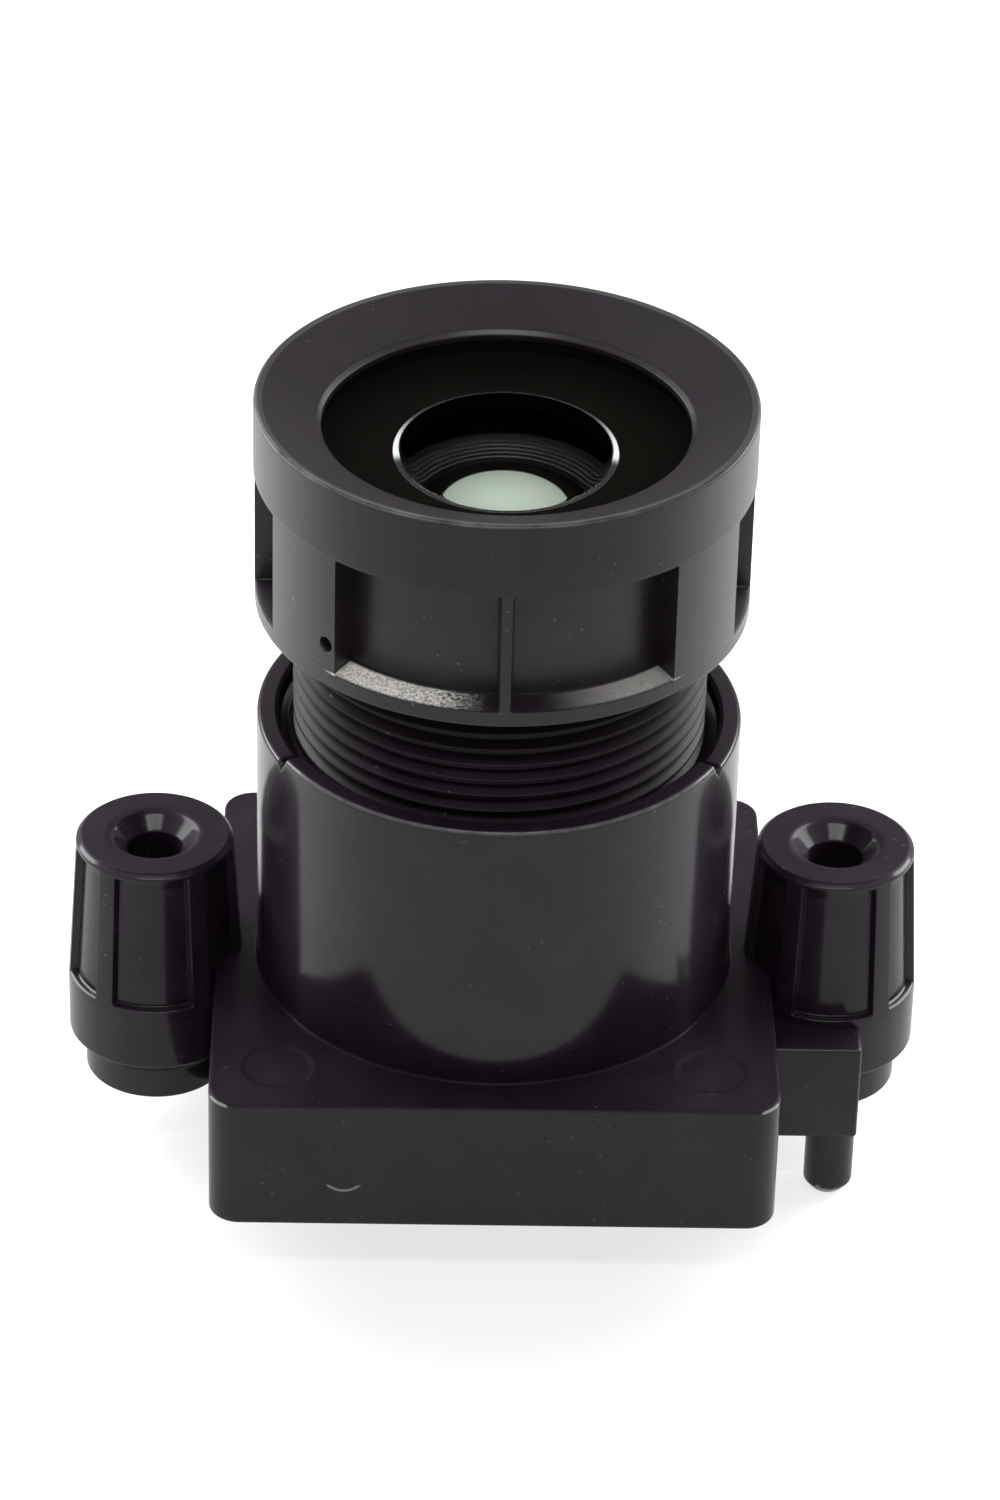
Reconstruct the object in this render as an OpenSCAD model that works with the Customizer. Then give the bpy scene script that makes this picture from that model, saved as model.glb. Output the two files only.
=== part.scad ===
// Board camera lens in its screw-down holder. The lens turns in a fine thread, which sets the focus.
// Millimetres. The origin lies on the optical axis, in the plane of the circuit board, and +Z points
// out through the front glass. The front of the holder faces -Y.

/* [Holder base] */
// Side of the square base
base_w = 16.4; // [16:0.1:18]
// Height of the base above the board
base_h = 4.2; // [4:0.1:5.5]
// Radius of the upright corners of the base
base_corner_r = 0.9; // [0.3:0.1:1.4]
// Side of the square hollow over the image sensor
cavity_w = 13.2; // [10.5:0.1:13.6]
// Height of the hollow over the image sensor
cavity_h = 2.4; // [1.5:0.1:2.6]
// Diameter of the round ejector marks on the base
ejector_d = 2; // [1:0.1:2.2]
// Depth of the ejector marks
ejector_depth = 0.08; // [0.04:0.02:0.2]
// Distance of each ejector mark from the two sides of its corner
ejector_inset = 1.95; // [1.5:0.05:2.2]

/* [Holder barrel] */
// Outer diameter of the barrel
barrel_d = 14; // [13.8:0.1:15]
// Height of the barrel's rim above the board
holder_h = 12.85; // [11.5:0.05:14]
// Diameter of the smooth lead-in at the rim
lead_in_d = 12.7; // [12.4:0.1:13.2]
// Depth of the smooth lead-in
lead_in_h = 0.8; // [0.4:0.1:1.5]
// How far the sides of the rim lie below its front and back
rim_step = 0.25; // [0.1:0.05:0.5]
// Half angle of the raised front and back of the rim
rim_half_angle = 63; // [40:1:70]
// Width of the notches between the two levels of the rim
rim_notch_w = 0.5; // [0.2:0.05:1]
// Depth of the notches in the rim
rim_notch_depth = 0.45; // [0.3:0.05:0.8]
// Height of the bevel where the barrel meets the base
barrel_foot = 0.1; // [0.05:0.05:0.5]
// Bevel on the edges of the rim
rim_bevel = 0.1; // [0.05:0.05:0.2]

/* [Infrared filter] */
// Side of the square filter glass
filter_w = 8; // [7:0.1:9]
// Thickness of the filter glass
filter_t = 0.55; // [0.3:0.05:0.7]
// Side of the square window above the filter
window_w = 6.6; // [5:0.1:6.8]
// Thickness of the ledge that the filter seats against
ledge_t = 0.8; // [0.5:0.05:1]
// Width of the adhesive frame
bond_w = 1.1; // [0.6:0.1:1.4]
// Thickness of the adhesive frame
bond_t = 0.12; // [0.06:0.02:0.2]
// Clearance round the filter in its seat
filter_clearance = 0.1; // [0.05:0.05:0.3]

/* [Screw posts] */
// Distance between the two screw posts
post_spacing = 20; // [19:0.1:22]
// Height of the posts above the board
post_h = 8.05; // [6.5:0.05:9]
// Diameter of a post at its top
post_top_d = 4.6; // [4:0.1:5]
// Diameter of a post just above its collar
post_low_d = 5.2; // [4.8:0.1:5.6]
// Bevel round the top of a post
post_bevel = 0.16; // [0.05:0.01:0.3]
// Diameter of the screw holes
screw_hole_d = 1.6; // [1.2:0.1:2]
// Diameter of the funnel at the top of a screw hole
funnel_d = 2.6; // [2.2:0.1:3]
// Diameter of the foot under the collar
post_foot_d = 4.24; // [3.6:0.1:4.6]
// Height of the underside of the collar
collar_low = 0.95; // [0.6:0.05:1.2]
// Height of the top of the collar
collar_top = 3.2; // [2.6:0.1:3.8]
// Depth of the recessed panels in a post
post_panel_depth = 0.22; // [0.1:0.02:0.4]
// Half angle of a post's front and back panels
post_panel_wide = 27; // [20:1:32]
// Half angle of a post's side panels
post_panel_narrow = 18; // [10:1:22]
// Angle from the middle of a post's front or back to the middle of each side panel
post_panel_side = 60; // [56:1:64]
// Height of the plain ring above the panels
post_panel_top = 0.3; // [0.2:0.05:0.6]
// Height of the ledge between the collar and the panels
post_panel_ledge = 0.25; // [0.05:0.05:0.3]

/* [Locating pins] */
// Diameter of a locating pin
pin_d = 1.44; // [1:0.02:1.8]
// Length of a pin below the board face
pin_length = 2.2; // [1:0.1:3]
// Distance of each pin from the line through the posts
pin_offset = 3; // [2.6:0.1:4]
// How far each pin lies outside the middle of its post
pin_shift = 0.1; // [0:0.02:0.3]
// Bevel at the tip of a pin
pin_bevel = 0.3; // [0.1:0.05:0.4]

/* [Thread] */
// Nominal diameter of the lens thread
thread_d = 12; // [11.9:0.05:12.1]
// Pitch of the lens thread
pitch = 0.5; // [0.4:0.05:0.6]
// Depth of the thread
thread_depth = 0.29; // [0.2:0.01:0.32]
// Radial clearance between the two threads
thread_clearance = 0.08; // [0.06:0.01:0.1]
// Length of thread showing between the flange and the rim
thread_shown = 3.5; // [0.6:0.1:4.5]

/* [Lens housing] */
// Diameter of the head
head_d = 14.2; // [14:0.1:15]
// Height of the head, from the flange's underside to the front rim
head_h = 6.45; // [6.2:0.05:8]
// Thickness of the flange under the panels
flange_h = 0.52; // [0.3:0.02:0.8]
// How far the panelled part lies inside the front cap
land_step = 0.04; // [0.02:0.02:0.1]
// Depth of the recessed panels in the head
panel_depth = 0.88; // [0.4:0.02:0.9]
// Angle from the middle of the front panel to its edge
panel_wide = 41.4; // [30:0.2:44]
// Angle from the middle of a side panel to its edge
panel_narrow = 23; // [12:1:28]
// How much further round a panel reaches at its floor than at its edge
panel_undercut = 1.9; // [0:0.1:3]
// Width of the thin rib in the middle of each panel
rib_w = 0.4; // [0.2:0.05:0.8]
// Height of the closed band between the panels and the front cap
panel_band = 0.1; // [0.05:0.05:0.4]
// Diameter of the small hole beside the front panel
pinhole_d = 0.42; // [0.2:0.02:0.5]
// Depth of the small hole
pinhole_depth = 0.3; // [0.2:0.05:0.5]
// Length of the smooth nose behind the thread
nose_h = 1.1; // [1.1:0.05:1.6]
// Diameter of the hole through the web in the middle of the housing
web_hole_d = 4; // [3:0.1:5]
// Thickness of the web in the middle of the housing
web_t = 0.7; // [0.5:0.05:1]
// How far the housing stands out behind the rear retainer
tail_h = 0.25; // [0.1:0.05:0.6]

/* [Front cap] */
// Height of the smooth band round the front
cap_h = 2.2; // [1.9:0.05:2.6]
// Wall of the cap outside the housing
cap_wall = 0.6; // [0.4:0.05:0.7]
// Diameter of the opening over the front glass
cap_window_d = 10.4; // [9.6:0.1:10.6]
// How far the dished bezel drops from the rim to the glass
bezel_drop = 0.76; // [0.4:0.02:1]
// Thickness of the lip that holds the front glass
lip_t = 0.25; // [0.15:0.05:0.4]
// Bevel on the outer edge of the front rim
cap_bevel = 0.1; // [0.04:0.02:0.2]

/* [Front glass and seal] */
// Diameter of the front element
first_d = 11; // [10.8:0.1:11.2]
// Thickness of the front element at its edge
first_edge = 2.4; // [2:0.1:3]
// Radius of the front element's outer face
first_front_r = 32; // [20:1:60]
// Radius of the front element's hollow rear face
first_rear_r = 5.8; // [5:0.1:8]
// Diameter of the hollow rear face at its mouth
first_mouth_d = 5.7; // [5:0.1:6.2]
// Thickness of the rubber seal ring
seal_cord = 0.5; // [0.3:0.05:0.5]
// Gap round the seal ring
seal_gap = 0.03; // [0.02:0.01:0.06]

/* [Inner stack] */
// Diameter of the second element
second_d = 8.4; // [8:0.1:9]
// Thickness of the second element at its edge
second_edge = 0.75; // [0.6:0.05:1.2]
// Radius of the second element's outer face
second_front_r = 18; // [12:0.5:24]
// Radius of the second element's hollow rear face
second_rear_r = 6.5; // [5:0.5:10]
// Diameter of the second element's hollow face at its mouth
second_mouth_d = 5.2; // [4:0.1:5.4]
// Height of the spacer in front of the second element
spacer_a_h = 2.8; // [2.4:0.05:3.2]
// Diameter of the rear elements
rear_d = 8.9; // [8.4:0.1:9.2]
// Diameter of the polished faces of the rear elements
rear_clear_d = 7.2; // [6:0.1:7.4]
// Thickness of the third element at its edge
third_edge = 0.9; // [0.6:0.1:1.4]
// Radius of the third element's rear face
third_rear_r = 7; // [6:0.5:12]
// Height of the spacer behind the third element
spacer_b_h = 1.8; // [1.6:0.1:2.4]
// Thickness of the crown element at its edge
crown_edge = 0.5; // [0.4:0.1:1]
// Radius of the crown element's front face
crown_front_r = 20; // [14:1:40]
// Radius of the face that the crown and flint elements share
cemented_r = 6.5; // [6:0.5:10]
// Thickness of the cement between the crown and flint elements
cement_t = 0.02; // [0.01:0.01:0.04]
// Thickness of the flint element at its edge
flint_edge = 1.6; // [1.5:0.1:2.2]
// Height of the spacer in front of the rear element
spacer_c_h = 0.95; // [0.9:0.05:1.4]
// Thickness of the rear element at its edge
rear_edge = 0.6; // [0.4:0.1:1.2]
// Radius of the rear element's front face
rear_front_r = 8; // [7.5:0.5:14]
// Wall of the spacer rings
spacer_wall = 0.75; // [0.4:0.05:0.8]
// Thickness of the light shields
shield_t = 0.08; // [0.04:0.02:0.12]
// Thickness of the aperture stop
stop_t = 0.1; // [0.05:0.05:0.2]
// Diameter of the hole in the aperture stop
stop_hole_d = 1.8; // [1:0.1:3]
// Height of the rear retainer
retainer_h = 0.8; // [0.5:0.05:1.2]
// Opening through the rear retainer and the rear shield
retainer_hole_d = 6.2; // [5:0.1:6.6]
// Width of the spanner slots in the rear retainer
spanner_w = 0.6; // [0.4:0.05:0.8]
// Depth of the spanner slots
spanner_depth = 0.4; // [0.2:0.05:0.45]
// Radial clearance of the pieces in the housing's bores
bore_fit = 0.04; // [0.02:0.01:0.06]

/* [Hidden] */
$fn = 96;

// Overlap of cutters past the faces that they cut
over = 1;
// Number of flats round one turn of the thread
thread_sides = 36;
// Crest and root of the thread as shares of the pitch: crest start, crest end, root start, root end
thread_profile = [0, 1 / 8, 7 / 16, 11 / 16];

// Heights inside the holder, from the board up
filter_seat_z = cavity_h + filter_t;
ledge_top_z = filter_seat_z + ledge_t;
// A smooth stretch of bore under the thread, long enough for the thread to run out
relief_h = 2.2 * pitch;
thread_low_z = ledge_top_z + relief_h;
lead_in_z = holder_h - lead_in_h;
relief_d = thread_d + 0.4;

// Heights along the lens, from the front back to its tail
flange_z = holder_h + thread_shown;
head_top_z = flange_z + head_h;
cap_low_z = head_top_z - cap_h;
lip_top_z = head_top_z - bezel_drop;
first_front_z = lip_top_z - lip_t;
first_rear_z = first_front_z - first_edge;
front_seat_z = first_rear_z - shield_t;
second_front_z = front_seat_z - spacer_a_h;
web_front_z = second_front_z - second_edge;
web_rear_z = web_front_z - web_t;
stop_rear_z = web_rear_z - stop_t;
third_rear_z = stop_rear_z - third_edge;
crown_front_z = third_rear_z - spacer_b_h;
crown_rear_z = crown_front_z - crown_edge;
flint_rear_z = crown_rear_z - cement_t - flint_edge;
rear_shield_z = flint_rear_z - shield_t;
rear_front_z = rear_shield_z - spacer_c_h;
rear_rear_z = rear_front_z - rear_edge;
retainer_rear_z = rear_rear_z - retainer_h;
tail_z = retainer_rear_z - tail_h;

// Radii of the housing
crest_r = thread_d / 2 - thread_clearance / 2;
root_r = crest_r - thread_depth;
core_r = root_r - 0.25;
nose_r = core_r - 0.08;
land_r = head_d / 2 - land_step;
panel_r = land_r - panel_depth;
first_bore_r = first_d / 2 + bore_fit;
second_bore_r = second_d / 2 + bore_fit;
rear_bore_r = rear_d / 2 + bore_fit;
spigot_r = head_d / 2 - cap_wall - bore_fit;
seal_mid_r = first_d / 2 + seal_gap + seal_cord / 2;
seal_mid_z = first_front_z - seal_gap - seal_cord / 2;

black_plastic = "#1d1d20";
black_metal = "#141416";
black_film = "#0c0c0d";
rubber = "#101011";
clear_glass = "#9fb8c455";
filter_glass = "#8fd6c388";
adhesive = "#d8d2c0";

// Height of a spherical face of radius r above the plane of its rim
function sag(r, rim_r) = r - sqrt(r * r - rim_r * rim_r);

// A solid rod whose skin is a right-hand helical thread. A crest passes angle 0 at each whole multiple
// of the pitch, so two threads made by this module always mesh. The skin is a grid of points: each
// row follows one corner of the profile up the helix, and the seam joins each row to the next turn.
module threaded_rod(low_z, high_z, crest, root) {
    n = thread_sides;
    first = ceil(low_z / pitch + thread_profile[1] / 2);
    turns = floor((high_z - first * pitch) / pitch) + 2;
    rows = 4 * turns;
    start_z = (first - thread_profile[1] / 2) * pitch;
    row_z = [for (j = [0 : rows]) start_z + pitch * (floor(j / 4) + thread_profile[j % 4])];
    row_r = [for (j = [0 : rows]) j % 4 < 2 ? crest : root];
    skin = [for (i = [0 : n - 1], j = [0 : rows])
        [row_r[j] * cos(360 * i / n), row_r[j] * sin(360 * i / n), row_z[j] + pitch * i / n]];
    // The top of the seam, where the last column climbs past the last row
    seam = [for (j = [rows - 3 : rows]) [row_r[j], 0, row_z[j] + pitch]];
    poles = [[0, 0, start_z + pitch / 2], [0, 0, row_z[rows] + pitch / 2]];
    low_pole = n * (rows + 1) + 4;
    high_pole = low_pole + 1;
    function at(i, j) =
        i < n ? i * (rows + 1) + j
        : j + 4 <= rows ? j + 4
        : n * (rows + 1) + j - (rows - 3);
    sides = [for (i = [0 : n - 1], j = [0 : rows - 1], half = [0, 1])
        half == 0
            ? [at(i, j), at(i, j + 1), at(i + 1, j + 1)]
            : [at(i, j), at(i + 1, j + 1), at(i + 1, j)]];
    low_edge = [for (i = [0 : n - 1]) at(i, 0), for (j = [4 : -1 : 1]) at(0, j)];
    high_edge = [for (i = [0 : n - 1]) at(i, rows), for (j = [rows : -1 : rows - 3]) at(n, j)];
    low_fan = [for (k = [0 : len(low_edge) - 1])
        [low_pole, low_edge[k], low_edge[(k + 1) % len(low_edge)]]];
    high_fan = [for (k = [0 : len(high_edge) - 1])
        [high_pole, high_edge[(k + 1) % len(high_edge)], high_edge[k]]];
    polyhedron(points = concat(skin, seam, poles), faces = concat(sides, low_fan, high_fan));
}

// A plain ring between two heights
module ring(low_z, high_z, outer_r, inner_r) {
    translate([0, 0, low_z])
        difference() {
            cylinder(r = outer_r, h = high_z - low_z);
            translate([0, 0, -over])
                cylinder(r = inner_r, h = high_z - low_z + 2 * over);
        }
}

// A cylinder between two heights
module rod(low_z, high_z, r) {
    translate([0, 0, low_z])
        cylinder(r = r, h = high_z - low_z);
}

// A domed cap on a lens: the part of a sphere that stands out of the plane at rim_z, above it or below
module dome(rim_z, r, rim_r, up) {
    depth = sag(r, rim_r);
    middle_z = rim_z + (up ? depth - r : r - depth);
    root = min(0.1, depth / 2);
    intersection() {
        translate([0, 0, middle_z])
            sphere(r = r);
        if (up)
            rod(rim_z - root, rim_z + depth + over, rim_r);
        else
            rod(rim_z - depth - over, rim_z + root, rim_r);
    }
}

// The ball that hollows a lens face upwards from the plane at rim_z
module hollow(rim_z, r, rim_r) {
    translate([0, 0, rim_z + sag(r, rim_r) - r])
        sphere(r = r);
}

// A square with round corners, as an outline
module round_square(w, r) {
    square([w, w - 2 * r], center = true);
    square([w - 2 * r, w], center = true);
    for (x = [-1, 1], y = [-1, 1])
        translate([x * (w / 2 - r), y * (w / 2 - r)])
            circle(r = r);
}

// A square block between two heights, centred on the axis
module square_block(w, low_z, high_z) {
    translate([-w / 2, -w / 2, low_z])
        cube([w, w, high_z - low_z]);
}

// A cut that runs round an axis between two angles, counted from the front, with a sloping floor
module panel_cut(from_angle, to_angle, low_z, high_z, low_r, high_r, outer_r) {
    rotate([0, 0, from_angle - 90])
        rotate_extrude(angle = to_angle - from_angle)
            polygon([[low_r, low_z], [outer_r, low_z], [outer_r, high_z], [high_r, high_z]]);
}

// Middle and half angle of the panels round a post
function post_panels() = [
    [0, post_panel_wide], [180, post_panel_wide],
    for (m = [0, 180], side = [-1, 1]) [m + side * post_panel_side, post_panel_narrow]
];

// Radius of a post's tapering side at a height
function post_r(z) =
    post_low_d / 2 + (post_top_d - post_low_d) / 2 * (z - collar_top) / (post_h - collar_top);

// One screw post on its own axis, with its panels but without its hole
module screw_post() {
    panel_low = collar_top + post_panel_ledge;
    panel_high = post_h - post_panel_top;
    difference() {
        rotate_extrude()
            polygon([
                [0, 0],
                [post_foot_d / 2, 0],
                [post_foot_d / 2, collar_low],
                [post_low_d / 2, collar_low + (post_low_d - post_foot_d) / 2],
                [post_low_d / 2, collar_top],
                [post_r(post_h - post_bevel), post_h - post_bevel],
                [post_r(post_h) - post_bevel, post_h],
                [0, post_h]
            ]);
        for (p = post_panels())
            panel_cut(p[0] - p[1], p[0] + p[1], panel_low, panel_high,
                post_r(panel_low) - post_panel_depth, post_r(panel_high) - post_panel_depth,
                post_low_d / 2 + over);
    }
}

// The lug beside the right post with its locating pin
module pin_lug() {
    lug_x = base_w / 2 - base_corner_r;
    translate([lug_x, -pin_offset - pin_d / 2, 0])
        cube([post_spacing / 2 + pin_shift + pin_d / 2 - lug_x, pin_offset + pin_d / 2, collar_top]);
    translate([post_spacing / 2 + pin_shift, -pin_offset, -pin_length])
        rotate_extrude()
            polygon([
                [0, 0],
                [pin_d / 2 - pin_bevel, 0],
                [pin_d / 2, pin_bevel],
                [pin_d / 2, pin_length + collar_top / 2],
                [0, pin_length + collar_top / 2]
            ]);
}

// The barrel's outside, with its bevelled foot and rim
module holder_barrel() {
    r = barrel_d / 2;
    rotate_extrude()
        polygon([
            [0, cavity_h + filter_t],
            [r + barrel_foot, cavity_h + filter_t],
            [r + barrel_foot, base_h],
            [r, base_h + barrel_foot],
            [r, holder_h - rim_bevel],
            [r - rim_bevel, holder_h],
            [0, holder_h]
        ]);
}

// The two lower stretches of the rim and the notches at their ends
module rim_cuts() {
    inner_r = lead_in_d / 2 - over;
    outer_r = barrel_d / 2 + over;
    for (side = [90, 270]) {
        half = 90 - rim_half_angle;
        panel_cut(side - half, side + half, holder_h - rim_step, holder_h + over, inner_r, inner_r, outer_r);
        for (end = [-half, half])
            rotate([0, 0, side + end])
                translate([0, -inner_r, holder_h - rim_notch_depth])
                    rotate([90, 0, 0])
                        linear_extrude(outer_r - inner_r)
                            polygon([[0, 0], [rim_notch_w / 2, rim_notch_depth + over],
                                [-rim_notch_w / 2, rim_notch_depth + over]]);
    }
}

module lens_holder() {
    tap_crest_r = crest_r + thread_clearance;
    ejector_at = base_w / 2 - ejector_inset;
    color(black_plastic)
        difference() {
            union() {
                linear_extrude(base_h)
                    round_square(base_w, base_corner_r);
                holder_barrel();
                for (turn = [0, 180])
                    rotate([0, 0, turn]) {
                        translate([post_spacing / 2, 0, 0])
                            screw_post();
                        pin_lug();
                    }
            }
            square_block(cavity_w, -over, cavity_h);
            square_block(filter_w + 2 * filter_clearance, cavity_h - over, filter_seat_z);
            square_block(window_w, cavity_h, ledge_top_z + over);
            rod(ledge_top_z, thread_low_z, relief_d / 2);
            threaded_rod(ledge_top_z, lead_in_z, tap_crest_r, tap_crest_r - thread_depth);
            rod(lead_in_z, holder_h + over, lead_in_d / 2);
            rim_cuts();
            for (x = [-1, 1]) {
                translate([x * post_spacing / 2, 0, -over])
                    cylinder(d = screw_hole_d, h = post_h + 2 * over);
                translate([x * post_spacing / 2, 0, post_h - (funnel_d - screw_hole_d) / 2])
                    cylinder(d1 = screw_hole_d, d2 = funnel_d, h = (funnel_d - screw_hole_d) / 2);
                for (y = [-1, 1])
                    translate([x * ejector_at, y * ejector_at, base_h - ejector_depth])
                        cylinder(d = ejector_d, h = over);
            }
        }
}

module ir_cut_filter() {
    color(filter_glass)
        square_block(filter_w, cavity_h, filter_seat_z);
}

module filter_bond() {
    color(adhesive)
        difference() {
            square_block(filter_w + bond_w, cavity_h - bond_t, cavity_h);
            square_block(filter_w - bond_w, cavity_h - bond_t - over, cavity_h + over);
        }
}

// One side of a recessed panel in the front of the head, between its thin rib and its end wall. The flat
// end wall leans under the land.
module head_panel(half, side) {
    edge = [land_r * sin(half), -land_r * cos(half)];
    foot = [panel_r * sin(half + panel_undercut), -panel_r * cos(half + panel_undercut)];
    lean = 3 * (edge - foot);
    outline = [[rib_w / 2, -land_r - 2 * over], edge + lean, foot - lean, [rib_w / 2, -panel_r / 2]];
    intersection() {
        ring(flange_z + flange_h, cap_low_z - panel_band, land_r + over, panel_r);
        linear_extrude(head_top_z)
            polygon([for (p = outline) [side * p[0], p[1]]]);
    }
}

module lens_barrel() {
    seal_floor_z = seal_mid_z - seal_cord / 2 - seal_gap;
    color(black_plastic)
        difference() {
            union() {
                rod(tail_z, flange_z + flange_h / 2, core_r);
                threaded_rod(tail_z, flange_z, crest_r, root_r);
                rod(flange_z, cap_low_z, land_r);
                rod(cap_low_z - over, first_front_z - bore_fit, spigot_r);
            }
            // The nose behind the thread
            ring(tail_z - over, tail_z + nose_h, crest_r + over, nose_r);
            // Bores for the two stacks of glass, and the hole through the web between them
            rod(front_seat_z, head_top_z, first_bore_r);
            rod(seal_floor_z, head_top_z, seal_mid_r + seal_cord / 2 + seal_gap);
            rod(web_front_z, front_seat_z + over, second_bore_r);
            rod(tail_z - over, web_rear_z, rear_bore_r);
            rod(web_rear_z - over, web_front_z + over, web_hole_d / 2);
            // Recessed panels, each with a thin rib left in its middle
            for (p = [[0, panel_wide], [90, panel_narrow], [180, panel_wide], [270, panel_narrow]], side = [-1, 1])
                rotate([0, 0, p[0]])
                    head_panel(p[1], side);
            rotate([0, 0, -panel_wide - 3.2])
                translate([0, -land_r + pinhole_depth, flange_z + flange_h + pinhole_d * 2])
                    rotate([90, 0, 0])
                        cylinder(d = pinhole_d, h = pinhole_depth + over);
        }
}

module front_cap() {
    r = head_d / 2;
    color(black_plastic)
        rotate_extrude()
            polygon([
                [r - cap_wall, cap_low_z],
                [r, cap_low_z],
                [r, head_top_z - cap_bevel],
                [r - cap_bevel, head_top_z],
                [cap_window_d / 2, lip_top_z],
                [cap_window_d / 2, first_front_z],
                [r - cap_wall, first_front_z]
            ]);
}

module front_element() {
    rim_r = cap_window_d / 2;
    color(clear_glass)
        difference() {
            intersection() {
                rod(first_rear_z, first_front_z + over, first_d / 2);
                translate([0, 0, first_front_z + sag(first_front_r, rim_r) - first_front_r])
                    sphere(r = first_front_r);
            }
            hollow(first_rear_z, first_rear_r, first_mouth_d / 2);
        }
}

module front_seal() {
    color(rubber)
        translate([0, 0, seal_mid_z])
            rotate_extrude()
                translate([seal_mid_r, 0])
                    circle(d = seal_cord, $fn = 32);
}

module front_shield() {
    color(black_film)
        ring(front_seat_z, first_rear_z, first_d / 2, first_mouth_d / 2);
}

module second_element() {
    color(clear_glass)
        difference() {
            union() {
                rod(web_front_z, second_front_z, second_d / 2);
                dome(second_front_z, second_front_r, second_d / 2 - spacer_wall, true);
            }
            hollow(web_front_z, second_rear_r, second_mouth_d / 2);
        }
}

module spacer_ring_a() {
    color(black_metal)
        ring(second_front_z, front_seat_z, second_d / 2, second_d / 2 - spacer_wall);
}

module aperture_stop() {
    color(black_film)
        ring(stop_rear_z, web_rear_z, rear_d / 2, stop_hole_d / 2);
}

module third_element() {
    color(clear_glass) {
        rod(third_rear_z, stop_rear_z, rear_d / 2);
        dome(third_rear_z, third_rear_r, rear_clear_d / 2, false);
    }
}

module spacer_ring_b() {
    color(black_metal)
        ring(crown_front_z, third_rear_z, rear_d / 2, rear_d / 2 - spacer_wall);
}

module crown_element() {
    color(clear_glass) {
        rod(crown_rear_z, crown_front_z, rear_d / 2);
        dome(crown_front_z, crown_front_r, rear_clear_d / 2, true);
        dome(crown_rear_z, cemented_r, rear_clear_d / 2, false);
    }
}

module flint_element() {
    color(clear_glass)
        difference() {
            rod(flint_rear_z, crown_rear_z - cement_t, rear_d / 2);
            translate([0, 0, crown_rear_z - sag(cemented_r, rear_clear_d / 2) + cemented_r])
                sphere(r = cemented_r + cement_t);
        }
}

module rear_shield() {
    color(black_film)
        ring(rear_shield_z, flint_rear_z, rear_d / 2, retainer_hole_d / 2);
}

module spacer_ring_c() {
    color(black_metal)
        ring(rear_front_z, rear_shield_z, rear_d / 2, rear_d / 2 - spacer_wall);
}

module rear_element() {
    color(clear_glass) {
        rod(rear_rear_z, rear_front_z, rear_d / 2);
        dome(rear_front_z, rear_front_r, rear_clear_d / 2, true);
    }
}

module rear_retainer() {
    color(black_metal)
        difference() {
            ring(retainer_rear_z, rear_rear_z, rear_d / 2, retainer_hole_d / 2);
            translate([-spanner_w / 2, -rear_d / 2 - over, retainer_rear_z - over])
                cube([spanner_w, rear_d + 2 * over, spanner_depth + over]);
        }
}

lens_holder();
ir_cut_filter();
filter_bond();
lens_barrel();
front_cap();
front_element();
front_seal();
front_shield();
second_element();
spacer_ring_a();
aperture_stop();
third_element();
spacer_ring_b();
crown_element();
flint_element();
rear_shield();
spacer_ring_c();
rear_element();
rear_retainer();
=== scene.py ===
"""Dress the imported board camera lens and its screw-down holder, and set up the studio round it.

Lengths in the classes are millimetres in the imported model's frame. Mesh points become metres when a
piece is made. Angles round the axis are degrees counted from the front, which faces -Y, towards +X.
"""

import logging
import math
from dataclasses import dataclass
from enum import Enum
from typing import Any, Dict, List, Optional, Sequence, Tuple, Union

import bmesh
import bpy
import numpy as np
from mathutils import Matrix, Vector


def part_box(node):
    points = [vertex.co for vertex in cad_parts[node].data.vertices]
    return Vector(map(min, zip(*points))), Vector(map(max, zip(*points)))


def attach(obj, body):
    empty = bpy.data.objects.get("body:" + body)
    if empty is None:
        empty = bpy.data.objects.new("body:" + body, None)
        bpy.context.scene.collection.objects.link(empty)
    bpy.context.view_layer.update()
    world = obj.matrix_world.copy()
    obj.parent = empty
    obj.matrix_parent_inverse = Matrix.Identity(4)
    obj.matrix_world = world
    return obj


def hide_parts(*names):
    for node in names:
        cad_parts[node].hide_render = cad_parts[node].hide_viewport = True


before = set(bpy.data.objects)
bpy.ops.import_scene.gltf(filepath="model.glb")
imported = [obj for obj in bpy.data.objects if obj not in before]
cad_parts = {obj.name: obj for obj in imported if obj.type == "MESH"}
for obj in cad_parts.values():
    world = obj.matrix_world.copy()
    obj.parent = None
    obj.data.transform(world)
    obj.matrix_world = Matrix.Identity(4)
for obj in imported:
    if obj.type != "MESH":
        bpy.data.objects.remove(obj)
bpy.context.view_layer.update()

LOG = logging.getLogger("board_lens")
MM = 0.001
FULL_TURN = 360.0
SHARP_EDGE = math.radians(38.0)
SQUARE_CORNERS = (45.0, 135.0, 225.0, 315.0)

Array = np.ndarray
Corner = Tuple[float, float, float]
Point = Tuple[float, float, float]
Colour = Tuple[float, float, float]
Face = Optional[Tuple[float, float]]
Shell = Tuple[Array, Array]
Finish = bpy.types.Material


class Body(Enum):
    """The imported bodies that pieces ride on."""

    HOLDER = "holder"
    SEAL = "seal_ring"
    LENS = "lens"


class Slot(Enum):
    """Names for material slots. The pieces below do not use them."""

    HOLDER = "holder_plastic"
    HOUSING = "lens_plastic"
    CAP = "cap_plastic"
    GLASS = "coated_glass"
    FILTER = "filter_glass"
    FILM = "black_film"
    METAL = "black_anodised"
    RUBBER = "seal_rubber"
    ADHESIVE = "adhesive"


# Curves and grids


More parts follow.
